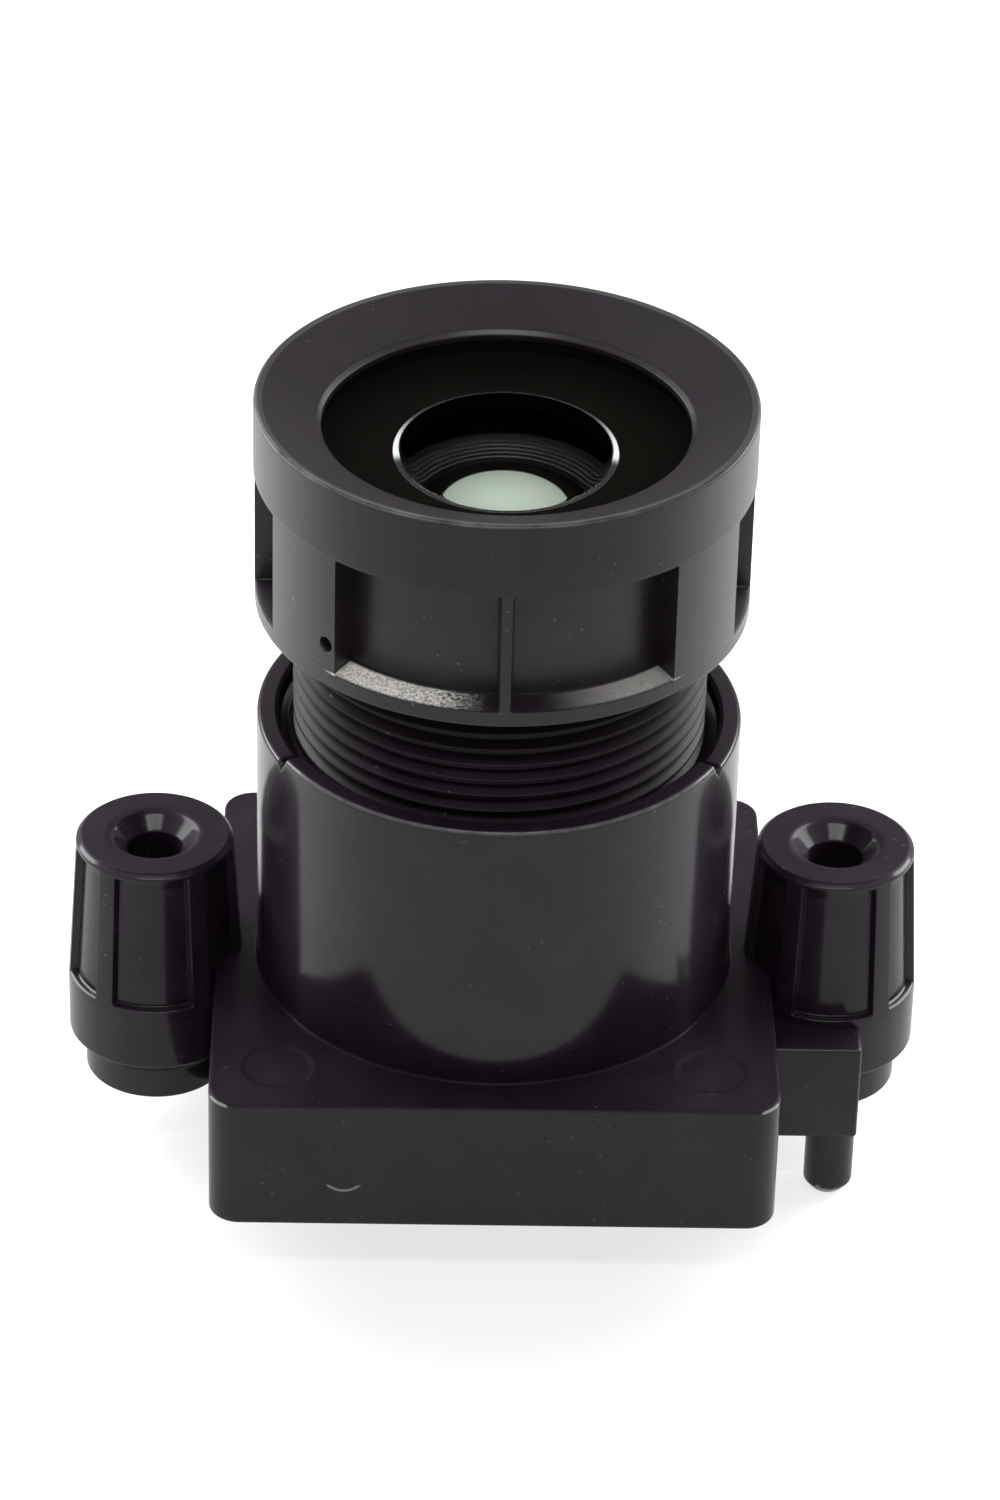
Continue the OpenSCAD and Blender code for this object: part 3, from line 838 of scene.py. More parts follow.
@dataclass(frozen=True)
class LensGlass:
    """Clear coated glass. Lamps shine through it, so what lies behind it is lit.

    The coating lets most of the light through without a reflection. Where light meets a face from inside
    at too flat an angle to leave the glass, part of it is mirrored. The seat may be inked.
    """

    name: str
    colour: Colour = (0.97, 0.985, 0.98)
    ior: float = 1.62
    bare: float = 0.03
    mirror: float = 0.35
    shade: Colour = (0.9, 0.93, 0.91)
    seat: Optional[InkedSeat] = None

    def build(self) -> Finish:
        """Make the material.

        Returns:
            The new material.
        """
        material, graph = new_graph(self.name)
        spot = graph.place()
        smear = graph.noise(spot, 0.8, 3.0, 0.6)
        mirrored = graph.node("ShaderNodeFresnel", None, {"IOR": self.ior}).rise(0.6, 0.95)
        uncoated: Value = self.bare + mirrored * (self.mirror - self.bare)
        bright: Value = 0.0
        if self.seat:
            inked, lip, bright = self.seat.masks(graph, spot)
            uncoated = uncoated.most(lip * self.seat.lip_share).most(bright)
        colour = (*self.colour, 1.0)
        glass = graph.principled({
            "Base Color": colour,
            "Metallic": bright,
            "Roughness": smear.rise(0.5, 0.8) * 0.015,
            "IOR": self.ior,
            "Transmission Weight": 1.0,
        })
        bend = {"Color": colour, "Roughness": 0.0, "IOR": self.ior}
        coated = graph.node("ShaderNodeBsdfRefraction", None, bend)
        clear = graph.node("ShaderNodeBsdfTransparent", None, {"Color": (*self.shade, 1.0)})
        shadow = graph.node("ShaderNodeLightPath", output="Is Shadow Ray")
        whole = graph.mixed(shadow, graph.mixed(uncoated, coated, glass), clear)
        if self.seat:
            black = graph.principled({
                "Base Color": (*self.seat.colour, 1.0),
                "Roughness": 0.7 + smear * 0.2,
                "Specular IOR Level": 0.05,
            })
            whole = graph.mixed(inked, whole, black)
        graph.finish(whole)
        return material


@dataclass(frozen=True)
class PupilGlassPaintedGlow:
    """The coated second glass: dark at its edge, and in the middle a pale green disc with a glow, painted
    light standing in for the light that comes up through it.
    """

    name: str
    pupil_r: float = 2.36
    fade: float = 0.06
    glow: float = 0.15
    edge: Colour = (0.008, 0.007, 0.006)
    pale: Colour = (0.37, 0.43, 0.37)
    warm: Colour = (0.42, 0.41, 0.35)

    def build(self) -> Finish:
        """Make the material.

        Returns:
            The new material.
        """
        material, graph = new_graph(self.name)
        spot = graph.place()
        _, _, _, radius = graph.polar(spot)
        # Painted light: the pale disc and its glow stand in for light coming up through the lens.
        painted_pupil = radius.fall(self.pupil_r - self.fade, self.pupil_r + self.fade)
        cloud = graph.noise(spot, 0.9, 3.0, 0.6)
        pale = graph.tint(cloud.rise(0.4, 0.7), self.pale, self.warm)
        graph.finish(graph.principled({
            "Base Color": graph.tint(painted_pupil, self.edge, pale),
            "Roughness": 0.06 + cloud * 0.05,
            "Emission Color": graph.tint(painted_pupil, (0.0, 0.0, 0.0), pale),
            "Emission Strength": self.glow,
            "Specular IOR Level": 0.1,
        }))
        return material


@dataclass(frozen=True)
class CuredAdhesive:
    """Cured adhesive: waxy, uneven and slightly yellow."""

    name: str
    colour: Colour = (0.72, 0.68, 0.56)

    def build(self) -> Finish:
        """Make the material.

        Returns:
            The new material.
        """
        material, graph = new_graph(self.name)
        spot = graph.place()
        blot = graph.noise(spot, 1.4, 4.0, 0.6)
        fine = graph.noise(spot, 9.0, 2.0)
        dark = tuple(c * 0.8 for c in self.colour)
        graph.finish(graph.principled({
            "Base Color": graph.tint(blot.rise(0.35, 0.7), self.colour, dark),
            "Roughness": 0.35 + blot * 0.3,
            "Normal": graph.bump(blot + fine * 0.2, 0.4, 0.03),
        }))
        return material


@dataclass(frozen=True)
class PaleBackdrop:
    """The floor: white to the eye and in reflections, with the object's shadow, and plain to light."""

    name: str = "pale_floor"
    own: float = 0.74
    lit: float = 0.3

    def build(self) -> Finish:
        """Make the material.

        Returns:
            The new material.
        """
        material, graph = new_graph(self.name)
        mottle = graph.noise(graph.place(), 0.05, 2.0)
        paper = graph.tint(mottle, (self.lit,) * 3, (self.lit * 1.02,) * 3)
        glow = graph.node("ShaderNodeEmission", None, {"Color": (1.0, 1.0, 1.0, 1.0), "Strength": self.own})
        sheet = graph.node("ShaderNodeBsdfDiffuse", None, {"Color": paper})
        seen = graph.node("ShaderNodeAddShader", None, {0: glow, 1: sheet})
        plain = graph.node("ShaderNodeBsdfDiffuse", None, {"Color": (0.8, 0.8, 0.8, 1.0)})
        graph.finish(graph.mixed(seen_rays(graph), plain, seen))
        return material


def seen_rays(graph: Graph) -> Wire:
    """Tell the rays that show something from those that only carry light.

    Args:
        graph: Graph of a material or a world.

    Returns:
        1 for rays from the camera, a mirror or a glass, and 0 for the rest.
    """
    path = graph.node("ShaderNodeLightPath", output="Is Camera Ray")
    outputs = path.socket.node.outputs
    glossy, through = Wire(graph, outputs["Is Glossy Ray"]), Wire(graph, outputs["Is Transmission Ray"])
    return path.most(glossy).most(through)


# The holder


@dataclass
class LensHolder:
    """The black moulding: square base, barrel with its stepped rim, screw posts, lugs and locating pins."""

    base_half: float = 8.2
    base_h: float = 4.2
    corner_r: float = 0.9
    edge_strip: float = 0.25
    cavity_half: float = 6.6
    cavity_corner: float = 0.5
    cavity_h: float = 2.4
    pocket_half: float = 4.1
    seat_z: float = 2.95
    window_half: float = 3.3
    window_corner: float = 0.2
    ledge_z: float = 3.75
    relief_r: float = 6.2
    relief_run: float = 0.1
    thread_low: float = 4.85
    bore_r: float = 6.04
    thread_minor: float = 5.75
    thread_over: float = 0.1
    pitch: float = 0.5
    lead_in_r: float = 6.35
    lead_in_z: float = 12.05
    lead_in_run: float = 0.12
    lead_in_lean: float = 0.02
    barrel_r: float = 7.0
    barrel_skirt: float = 0.42
    rim_z: float = 12.85
    rim_band: float = 0.6
    rim_lip: float = 0.12
    rim_bevel_h: float = 0.1
    rim_bevel_w: float = 0.14
    rim_step: float = 0.25
    rim_half_angle: float = 63.0
    notch_depth: float = 0.45
    notch_half_angle: float = 2.4
    mark_at: float = 6.25
    mark_r: float = 1.0
    mark_depth: float = 0.03
    post_at: float = 10.0
    post_h: float = 8.05
    post_top_r: float = 2.3
    post_low_r: float = 2.6
    post_bevel_h: float = 0.12
    post_bevel_w: float = 0.14
    foot_r: float = 2.12
    collar_low: float = 0.95
    collar_top: float = 3.2
    screw_r: float = 0.8
    funnel_r: float = 1.3
    funnel_depth: float = 0.5
    panel_depth: float = 0.22
    panel_low: float = 3.45
    panel_high: float = 7.75
    panel_wide: float = 27.0
    panel_narrow: float = 18.0
    panel_side: float = 60.0
    panel_soft_low: float = 0.025
    panel_soft_high: float = 0.07
    panel_soft_angle: float = 1.0
    lug_low: float = 0.02
    lug_round: float = 0.12
    pin_r: float = 0.72
    pin_tip: float = 0.26
    pin_taper: float = 0.32
    pin_shift: float = 0.1
    pin_length: float = 2.2
    pin_offset: float = 3.0
    pin_root: float = 0.8

    def rim_drop(self, angles: Array) -> Array:
        """How far the rim lies below its front: a step at the sides, and a V at each end of the step.

        Args:
            angles: Angles of the columns.

        Returns:
            Drop at each angle in millimetres.
        """
        half = 90.0 - self.rim_half_angle
        side = np.minimum(turn_between(angles, 90.0), turn_between(angles, 270.0))
        step = self.rim_step * smooth_step(side, half + 0.5, half - 0.5)
        notch = np.clip(1.0 - np.abs(side - half) / self.notch_half_angle, 0.0, 1.0) * self.notch_depth
        return np.maximum(step, notch)

    def body_shell(self) -> Shell:
        """Base and barrel as one closed ring of rows.

        Each row runs round the axis at q S + (1 - q) r, where S is the reach of a square with round
        corners and r a circle's radius. q goes from 0 to 1 across the top of the base. Near the rim
        each row is lowered by the rim's drop, and on the base by four round ejector marks.

        Returns:
            Closed surface.
        """
        half = self.rim_half_angle
        rims = np.array([half, 180.0 - half, 180.0 + half, FULL_TURN - half])
        notches = np.concatenate([rims + side * self.notch_half_angle for side in (-1.0, 0.0, 1.0)])
        columns, corners = column_angles(150, notches, 0.6, 5), corner_angles(9.0, 37)
        apart = np.min(turn_between(columns[:, None], corners[None, :]), axis=1) > 0.3
        columns = np.sort(np.concatenate([columns[apart], corners]))
        rim = self.rim_z
        round_rows = soft_line([
            (self.relief_r, self.ledge_z, 0.0),
            (self.relief_r, self.thread_low, 0.05),
            (self.bore_r, self.thread_low + self.relief_run, 0.0),
            (self.bore_r, self.lead_in_z, 0.03),
            (self.lead_in_r, self.lead_in_z + self.lead_in_run, 0.05),
            (self.lead_in_r, rim - self.rim_band, 0.0),
            (self.lead_in_r + self.lead_in_lean, rim - self.rim_bevel_h, 0.05),
            (self.lead_in_r + self.rim_bevel_w, rim, 0.07),
            (self.barrel_r, rim, 0.16),
            (self.barrel_r, rim - self.rim_band, 0.0),
            (self.barrel_r, self.base_h, 0.1),
            (self.barrel_r + self.barrel_skirt, self.base_h, 0.0),
        ])
        top = np.linspace(0.0, 1.0, 44)[1:-1]
        edge, inset = self.base_half, self.base_half - self.edge_strip
        square_rows = soft_line([
            (inset, self.base_h, 0.0),
            (edge, self.base_h, 0.17),
            (edge, 0.0, 0.1),
            (self.cavity_half, 0.0, 0.08),
            (self.cavity_half, self.cavity_h, 0.1),
            (self.pocket_half, self.cavity_h, 0.03),
            (self.pocket_half, self.seat_z, 0.03),
            (self.window_half, self.seat_z, 0.03),
            (self.window_half, self.ledge_z, 0.0),
        ], steps=6)
        n_round, n_square = len(round_rows), len(square_rows)
        share = np.concatenate([np.zeros(n_round), top, np.ones(n_square)])[:, None]
        circle = np.concatenate([round_rows[:, 0], np.full(len(top), round_rows[-1, 0]), np.zeros(n_square)])
        square = np.concatenate([np.full(n_round + len(top), inset), square_rows[:, 0]])
        height = np.concatenate([round_rows[:, 1], np.full(len(top), self.base_h), square_rows[:, 1]])
        halves = [self.window_half, self.cavity_half, inset, edge]
        bends = [self.window_corner, self.cavity_corner, self.corner_r - self.edge_strip, self.corner_r]
        bend = np.interp(square, halves, bends)
        reach = square_reach(columns[None, :], square[:, None], bend[:, None])
        radius = share * reach + (1.0 - share) * circle[:, None]
        near_rim = smooth_step(height, rim - self.rim_band, rim - self.rim_lip)
        z = height[:, None] - self.rim_drop(columns)[None, :] * near_rim[:, None]
        points = around(radius, z, columns)
        off = np.hypot(np.abs(points[..., 0]) - self.mark_at, np.abs(points[..., 1]) - self.mark_at)
        dent = self.mark_depth * smooth_step(off, self.mark_r + 0.04, self.mark_r - 0.06)
        points[..., 2] -= np.where(points[..., 2] > self.base_h - 0.01, dent, 0.0)
        return shell(points, True)

    def post_shell(self, at_x: float) -> Shell:
        """A screw post: a turned profile with a funnel and hole, and six shallow panels sunk in its side.

        The radius at an angle and height is the profile's, less the panel's depth where both the angle
        and the height lie inside a panel, with soft edges.

        Args:
            at_x: Place of the post's axis along X.

        Returns:
            Closed surface.
        """
        panels = [(0.0, self.panel_wide), (180.0, self.panel_wide)]
        panels += [(m + s * self.panel_side, self.panel_narrow) for m in (0.0, 180.0) for s in (-1.0, 1.0)]
        edges = [m + s * w for m, w in panels for s in (-1.0, 1.0)]
        columns = column_angles(96, edges, 1.6, 9)
        slope = (self.post_top_r - self.post_low_r) / (self.post_h - self.collar_top)
        levels = np.concatenate([
            self.panel_low + np.linspace(-0.03, 0.03, 6),
            np.linspace(self.panel_low + 0.25, self.panel_high - 0.35, 8),
            self.panel_high + np.linspace(-0.08, 0.08, 6),
        ])
        side = [(self.post_low_r + slope * (z - self.collar_top), z, 0.0) for z in levels]
        line = soft_line([
            (self.screw_r, 0.0, 0.05),
            (self.foot_r, 0.0, 0.06),
            (self.foot_r, self.collar_low, 0.05),
            (self.post_low_r, self.collar_low + self.post_low_r - self.foot_r, 0.1),
            (self.post_low_r, self.collar_top, 0.1),
            *side,
            (self.post_top_r + 0.005, self.post_h - self.post_bevel_h, 0.05),
            (self.post_top_r - self.post_bevel_w, self.post_h, 0.09),
            (self.funnel_r, self.post_h, 0.4),
            (self.screw_r, self.post_h - self.funnel_depth, 0.1),
        ], closed=True)
        soft = self.panel_soft_angle
        mask = sum(smooth_step(turn_between(columns, m), w + soft, w - soft) for m, w in panels)
        ends = (self.panel_low, self.panel_high, self.panel_soft_low, self.panel_soft_high)
        rows = soft_band(line[:, 1], *ends)
        rows = np.where(line[:, 0] > self.funnel_r + 0.3, rows, 0.0)
        radius = line[:, :1] - self.panel_depth * rows[:, None] * mask[None, :]
        points = around(radius, line[:, 1:], columns)
        points[..., 0] += at_x
        return shell(points, True)

    def lug_shell(self, turn: float) -> Shell:
        """The lug between the base and a post.

        Args:
            turn: 1 for the one on the right in front, and -1 for the same turned half round.

        Returns:
            Closed surface.
        """
        low = (self.base_half - self.corner_r, -self.pin_offset - self.pin_r, self.lug_low)
        high = (self.post_at + self.pin_shift + self.pin_r, 0.0, self.collar_top)
        points, quads = round_block(low, high, self.lug_round)
        return points * np.array([turn, turn, 1.0]), quads

    def pin_shell(self, turn: float) -> Shell:
        """A locating pin with a rounded tip.

        Args:
            turn: 1 for the one on the right in front, and -1 for the same turned half round.

        Returns:
            Closed surface.
        """
        line = soft_line([
            (0.0, -self.pin_length, 0.0),
            (self.pin_r - self.pin_tip, -self.pin_length, 0.2),
            (self.pin_r, -self.pin_length + self.pin_taper, 0.2),
            (self.pin_r, self.pin_root, 0.0),
            (0.0, self.pin_root, 0.0),
        ])
        points, quads = turned(line, 40, ring=False)
        place = np.array([turn * (self.post_at + self.pin_shift), -turn * self.pin_offset, 0.0])
        return points + place, quads

    def build(self, material: Finish) -> None:
        """Make the holder's pieces.

        The thread is turned half round, so that its crests lie in the roots of the lens's thread.

        Args:
            material: The moulded plastic.
        """
        low, high = self.thread_low - self.thread_over, self.lead_in_z + self.thread_over
        ridge, quads = helical_ridge(self.bore_r, self.thread_minor, self.pitch, low, high)
        shells = {
            "holder_body": [self.body_shell()],
            "holder_thread": [(ridge * np.array([-1.0, -1.0, 1.0]), quads)],
            "screw_post_right": [self.post_shell(self.post_at)],
            "screw_post_left": [self.post_shell(-self.post_at)],
            "pin_lug_right": [self.lug_shell(1.0), self.pin_shell(1.0)],
            "pin_lug_left": [self.lug_shell(-1.0), self.pin_shell(-1.0)],
        }
        for name, parts in shells.items():
            make_piece(name, parts, Body.HOLDER, "lens_holder", material)


@dataclass
class FilterSeat:
    """The square filter glass under the barrel and the bead of adhesive round it."""

    half: float = 4.0
    glass_edge: float = 0.04
    bead_in: float = 3.45
    bead_out: float = 4.55
    bead_lean: float = 0.05
    bead_round: float = 0.12
    corner_r: float = 0.3
    wobble: float = 0.05

    def bead_shell(self, low: float, high: float) -> Shell:
        """A flat bead carried round a square: rows of an oval section, each a square with round corners.

        Args:
            low: Height of the bead's lower face.
            high: Height of the face that it is stuck to.

        Returns:
            Closed surface.
        """
        line = soft_line([
            (self.bead_in, high, 0.0),
            (self.bead_in + self.bead_lean, low, self.bead_round),
            (self.bead_out - self.bead_lean, low, self.bead_round),
            (self.bead_out, high, 0.0),
        ])
        columns = np.sort(np.concatenate([np.arange(72) * 5.0 + 2.5, corner_angles(2.0, 9)]))
        a = np.radians(columns)
        wobble = self.wobble * np.abs(np.sin(a * 7.0) * np.sin(a * 3.0 + 1.0))
        inwards = np.where(line[:, :1] < self.half, 1.0, -1.0)
        reach = square_reach(columns[None, :], line[:, :1], np.full((len(line), 1), self.corner_r))
        return shell(around(reach + wobble[None, :] * inwards, line[:, 1:], columns), True)

    def build(self, glass: Finish, adhesive: Finish) -> None:
        """Make the filter and its bead.

        Args:
            glass: The filter's coated glass.
            adhesive: The cured adhesive.
        """
        pane = round_block(*packed_box("ir_cut_filter"), self.glass_edge, 3)
        make_piece("ir_cut_filter_glass", [pane], Body.HOLDER, "ir_cut_filter", glass)
        low, high = packed_box("filter_bond")
        bead = self.bead_shell(low[2], high[2])
        make_piece("filter_bead", [bead], Body.HOLDER, "filter_bond", adhesive)


# The lens


@dataclass
class LensHousing:
    """The lens housing: threaded tail, flange, and a head with recessed panels and thin ribs."""

    tail_z: float = 7.46
    nose_h: float = 1.1
    nose_r: float = 5.34
    root_r: float = 5.67
    crest_r: float = 5.96
    pitch: float = 0.5
    thread_run: float = 0.2
    flange_z: float = 16.35
    flange_h: float = 0.52
    land_r: float = 7.06
    cap_low: float = 20.6
    panel_top: float = 20.5
    panel_depth: float = 0.88
    panel_wide: float = 41.4
    panel_narrow: float = 23.0
    undercut: float = 1.9
    lean_from: float = 9.0
    lean_to: float = 0.6
    rib_half: float = 1.62
    soft: float = 0.45
    panel_soft: float = 0.045
    spigot_r: float = 6.46
    spigot_z: float = 21.75
    rebate_r: float = 6.06
    rebate_z: float = 21.23
    first_bore: float = 5.54
    front_seat: float = 19.31
    second_bore: float = 4.24
    web_front: float = 15.76
    web_rear: float = 15.06
    web_r: float = 2.0
    rear_bore: float = 4.49
    hole_angle: float = -44.6
    hole_z: float = 17.71
    hole_r: float = 0.21
    hole_depth: float = 0.3

    def panels(self) -> List[Tuple[float, float]]:
        """Middle and half angle of each recessed panel."""
        return list(zip((0.0, 90.0, 180.0, 270.0), (self.panel_wide, self.panel_narrow) * 2))

    def panel_share(self, angles: Array) -> Tuple[Array, Array]:
        """How deep and how far round the surface moves in the recessed panels.

        The depth is 1 inside a panel and 0 on the lands and the thin ribs, with soft edges. Near the end
        walls the floor is also turned outwards by the undercut, so that the walls lean under the lands.

        Args:
            angles: Angles of the columns.

        Returns:
            Share of the panel's depth, and the turn of the floor in degrees.
        """
        depth, lean = np.zeros_like(angles), np.zeros_like(angles)
        for middle, half in self.panels():
            off = turn_between(angles, middle)
            side = np.sign((angles - middle + 180.0) % FULL_TURN - 180.0)
            inside = smooth_step(off, half + self.soft, half - self.soft)
            depth = depth + inside * smooth_step(off, self.rib_half - self.soft, self.rib_half + self.soft)
            near = smooth_step(off, half - self.lean_from, half - self.lean_to)
            lean = lean + inside * side * (self.undercut + self.soft) * near
        return depth, lean

    def body_shell(self) -> Shell:
        """The housing as one closed ring of rows, outside and bores.

        The radius is the turned profile's. On the head it is less by the panel's depth where the angle
        and the height both lie in a panel, and by a small blind hole's depth near its middle.

        Returns:
            Closed surface.
        """
        edges = [m + s * h for m, half in self.panels() for s in (-1.0, 1.0) for h in (half, self.rib_half)]
        hole = [self.hole_angle + turn for turn in (-1.8, -0.6, 0.6, 1.8)]
        columns = column_angles(180, [*edges, *hole], 0.6, 9)
        ledge = self.flange_z + self.flange_h
        close = np.linspace(-0.05, 0.05, 9)
        levels = np.concatenate([
            ledge + close,
            self.hole_z + np.linspace(-0.3, 0.3, 31),
            np.linspace(ledge + 0.2, self.panel_top - 0.2, 10),
            self.panel_top + close,
        ])
        line = soft_line([
            (self.nose_r, self.tail_z, 0.12),
            (self.nose_r, self.tail_z + self.nose_h, 0.05),
            (self.root_r, self.tail_z + self.nose_h + self.thread_run, 0.05),
            (self.root_r, self.flange_z, 0.06),
            (self.land_r, self.flange_z, 0.1),
            *((self.land_r, float(z), 0.0) for z in np.unique(np.round(levels, 4))),
            (self.land_r, self.cap_low, 0.02),
            (self.spigot_r, self.cap_low, 0.02),
            (self.spigot_r, self.spigot_z, 0.05),
            (self.rebate_r, self.spigot_z, 0.03),
            (self.rebate_r, self.rebate_z, 0.03),
            (self.first_bore, self.rebate_z, 0.03),
            (self.first_bore, self.front_seat, 0.03),
            (self.second_bore, self.front_seat, 0.04),
            (self.second_bore, self.web_front, 0.04),
            (self.web_r, self.web_front, 0.06),
            (self.web_r, self.web_rear, 0.06),
            (self.rear_bore, self.web_rear, 0.04),
            (self.rear_bore, self.tail_z, 0.08),
        ], closed=True)
        rows = soft_band(line[:, 1], ledge, self.panel_top, self.panel_soft, self.panel_soft)
        outside = (line[:, 0] > self.land_r - 0.01).astype(float)
        depth, lean = self.panel_share(columns)
        sunk = (rows * outside)[:, None]
        radius = line[:, :1] - self.panel_depth * sunk * depth[None, :]
        sideways = np.radians(turn_between(columns, self.hole_angle)) * self.land_r
        off = np.hypot(sideways[None, :], line[:, 1:] - self.hole_z)
        dent = self.hole_depth * smooth_step(off, self.hole_r + 0.03, self.hole_r - 0.04)
        radius = radius - outside[:, None] * dent
        return shell(around(radius, line[:, 1:], columns[None, :] + sunk * lean[None, :]), True)

    def build(self, material: Finish) -> None:
        """Make the housing and its thread.

        Args:
            material: The moulded plastic.
        """
        start = self.tail_z + self.nose_h + self.thread_run
        ridge = helical_ridge(self.root_r, self.crest_r, self.pitch, start, self.flange_z - 0.1)
        for name, made in (("housing_body", self.body_shell()), ("housing_thread", ridge)):
            make_piece(name, [made], Body.LENS, "lens_barrel", material)


@dataclass
class FrontCap:
    """The smooth ring round the front, with its matte dished bezel and the lip over the glass."""

    outer_r: float = 7.1
    bore_r: float = 6.5
    low_z: float = 20.6
    top_z: float = 22.8
    lip_z: float = 22.04
    under_z: float = 21.79
    window_r: float = 5.2
    edge_h: float = 0.07
    edge_w: float = 0.1
    brim_w: float = 0.22
    brim_drop: float = 0.04
    lip_w: float = 0.13
    lip_rise: float = 0.06
    lip_drop: float = 0.08

    def build(self, material: Finish) -> None:
        """Make the cap as a turned ring.

        Args:
            material: The cap's plastic.
        """
        line = soft_line([
            (self.bore_r, self.low_z, 0.03),
            (self.outer_r, self.low_z, 0.05),
            (self.outer_r, self.top_z - self.edge_h, 0.12),
            (self.outer_r - self.edge_w, self.top_z, 0.1),
            (self.outer_r - self.brim_w, self.top_z - self.brim_drop, 0.08),
            (self.window_r + self.lip_w, self.lip_z + self.lip_rise, 0.08),
            (self.window_r, self.lip_z - self.lip_drop, 0.08),
            (self.window_r, self.under_z, 0.02),
            (self.bore_r, self.under_z, 0.03),
        ], closed=True)
        make_piece("front_cap_ring", [turned(line, 240)], Body.LENS, "front_cap", material)


@dataclass
class GlassStack:
    """The glass elements, their spacers and shields, and the rings that close the stack."""

    first_r: float = 5.5
    first_rim: float = 5.2
    first_front_radius: float = 32.0
    first_mouth: float = 2.85
    first_rear_radius: float = 5.8
    first_lip: float = 0.4
    first_bevel: float = 0.6
    seat_gap: float = 0.015
    under_z: float = 21.79
    second_r: float = 4.2
    second_dome: float = 3.45
    second_front_radius: float = 18.0
    second_rear: Tuple[float, float] = (2.6, 6.5)
    rear_r: float = 4.45
    clear_r: float = 3.6
    third_radius: float = 7.0
    crown_rear_radius: float = 6.5
    crown_front_radius: float = 20.0
    flint_radius: float = 6.52
    rear_radius: float = 8.0
    stop_r: float = 0.9
    shield_r: float = 3.1
    spacer_bore: float = 3.7
    film_round: float = 0.02
    ring_round: float = 0.05
    baffle_bore: float = 3.45
    ridge_heights: Tuple[float, ...] = (1.9, 1.55, 1.2, 0.85, 0.5)
    ridge_lift: float = 0.12
    ridge_half: float = 0.09
    retainer_bore: float = 3.1
    slot_half: float = 0.31
    slot_depth: float = 0.4
    seal_r: float = 5.78

    @staticmethod
    def span(node: str) -> Tuple[float, float]:
        """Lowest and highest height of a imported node."""
        low, high = packed_box(node)
        return float(low[2]), float(high[2])

    @staticmethod
    def lens_shell(lines: Sequence[Array]) -> Shell:
        """A lens turned from the lines of its two faces and its edge, from the axis to the axis."""
        return turned(np.vstack(lines), 180, ring=False)

    @staticmethod
    def section(outer: float, inner: float, low: float, high: float, rounding: float) -> List[Corner]:
        """Corners of the section of a flat ring."""
        places = ((inner, low), (outer, low), (outer, high), (inner, high))
        return [(r, z, rounding) for r, z in places]

    @staticmethod
    def turned_ring(corners: Sequence[Corner], steps: int) -> Shell:
        """A ring turned from the corners of its section."""
        return turned(soft_line(corners, closed=True, steps=steps, hold=0.02), 144)

    def first_shell(self) -> Shell:
        """The front glass: a shallow dome in front, and a deep round hollow behind.

        Returns:
            Closed surface.
        """
        low = self.span("front_element")[0] + self.seat_gap
        rim, sphere = self.under_z - self.seat_gap, self.first_rear_radius
        start = self.first_mouth - self.first_lip
        lip = low + (math.sqrt(sphere**2 - start**2) - math.sqrt(sphere**2 - self.first_mouth**2))
        front = arc_line(self.first_rim, rim, self.first_front_radius, 1.0, 40)
        hollow = arc_line(start, lip, sphere, 1.0, 48)
        edge = soft_line([
            (start, lip, 0.0),
            (self.first_mouth, low, self.first_bevel),
            (self.first_r, low, 0.06),
            (self.first_r, rim - 0.06, 0.05),
            (self.first_rim, rim, 0.0),
        ])
        return self.lens_shell([hollow[::-1], edge[1:-1], front])

    def face_shell(self, node: str, r: float, low: Face, high: Face, hollow: Face) -> Shell:
        """A lens with a plain edge and up to two round faces, each a rim and a sphere's radius.

        Args:
            node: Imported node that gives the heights.
            r: Radius of the edge.
            low: Dome below, if there is one.
            high: Dome above, if there is one.
            hollow: Hollow in the lower face, if there is one.

        Returns:
            Closed surface.
        """
        bottom, top = self.span(node)
        rise = [f[1] - math.sqrt(f[1] ** 2 - f[0] ** 2) if f else 0.0 for f in (low, high)]
        bottom, top = bottom + rise[0], top - rise[1]
        under = np.array([[0.0, bottom]])
        if low:
            under = arc_line(low[0], bottom, low[1], -1.0, 32)[::-1]
        if hollow:
            under = arc_line(hollow[0], bottom, hollow[1], 1.0, 32)[::-1]
        over = arc_line(high[0], top, high[1], 1.0, 32) if high else np.array([[0.0, top]])
        edge = soft_line([
            (under[-1, 0], bottom, 0.0),
            (r, bottom, 0.05),
            (r, top, 0.05),
            (over[0, 0], top, 0.0),
        ])
        return self.lens_shell([under, edge[1:-1], over])

    def flint_shell(self) -> Shell:
        """The flint: flat below, with a cup above for the crown.

        Returns:
            Closed surface.
        """
        low, high = self.span("flint_element")
        cup = arc_line(self.clear_r, high, self.flint_radius, -1.0, 32)
        return self.lens_shell([np.array([[0.0, low], [self.rear_r, low], [self.rear_r, high]]), cup])

    def ring_shell(self, node: str, outer: float, inner: float, rounding: float) -> Shell:
        """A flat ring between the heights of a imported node.

        Args:
            node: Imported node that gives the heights.
            outer: Outer radius.
            inner: Radius of the bore.
            rounding: Rounding of the edges.

        Returns:
            Closed surface.
        """
        return self.turned_ring(self.section(outer, inner, *self.span(node), rounding), 3)

    def baffle_shell(self) -> Shell:
        """The spacer in front: a flat ring whose bore carries small rounded ridges.

        Returns:
            Closed surface.
        """
        low, high = self.span("spacer_ring_a")
        inner = self.baffle_bore
        profile = ((self.ridge_half, 0.0), (0.0, self.ridge_lift), (-self.ridge_half, 0.0))
        bore = [(inner - lift, low + h + step, 0.04) for h in self.ridge_heights for step, lift in profile]
        return self.turned_ring([*self.section(self.second_r, inner, low, high, self.ring_round), *bore], 4)

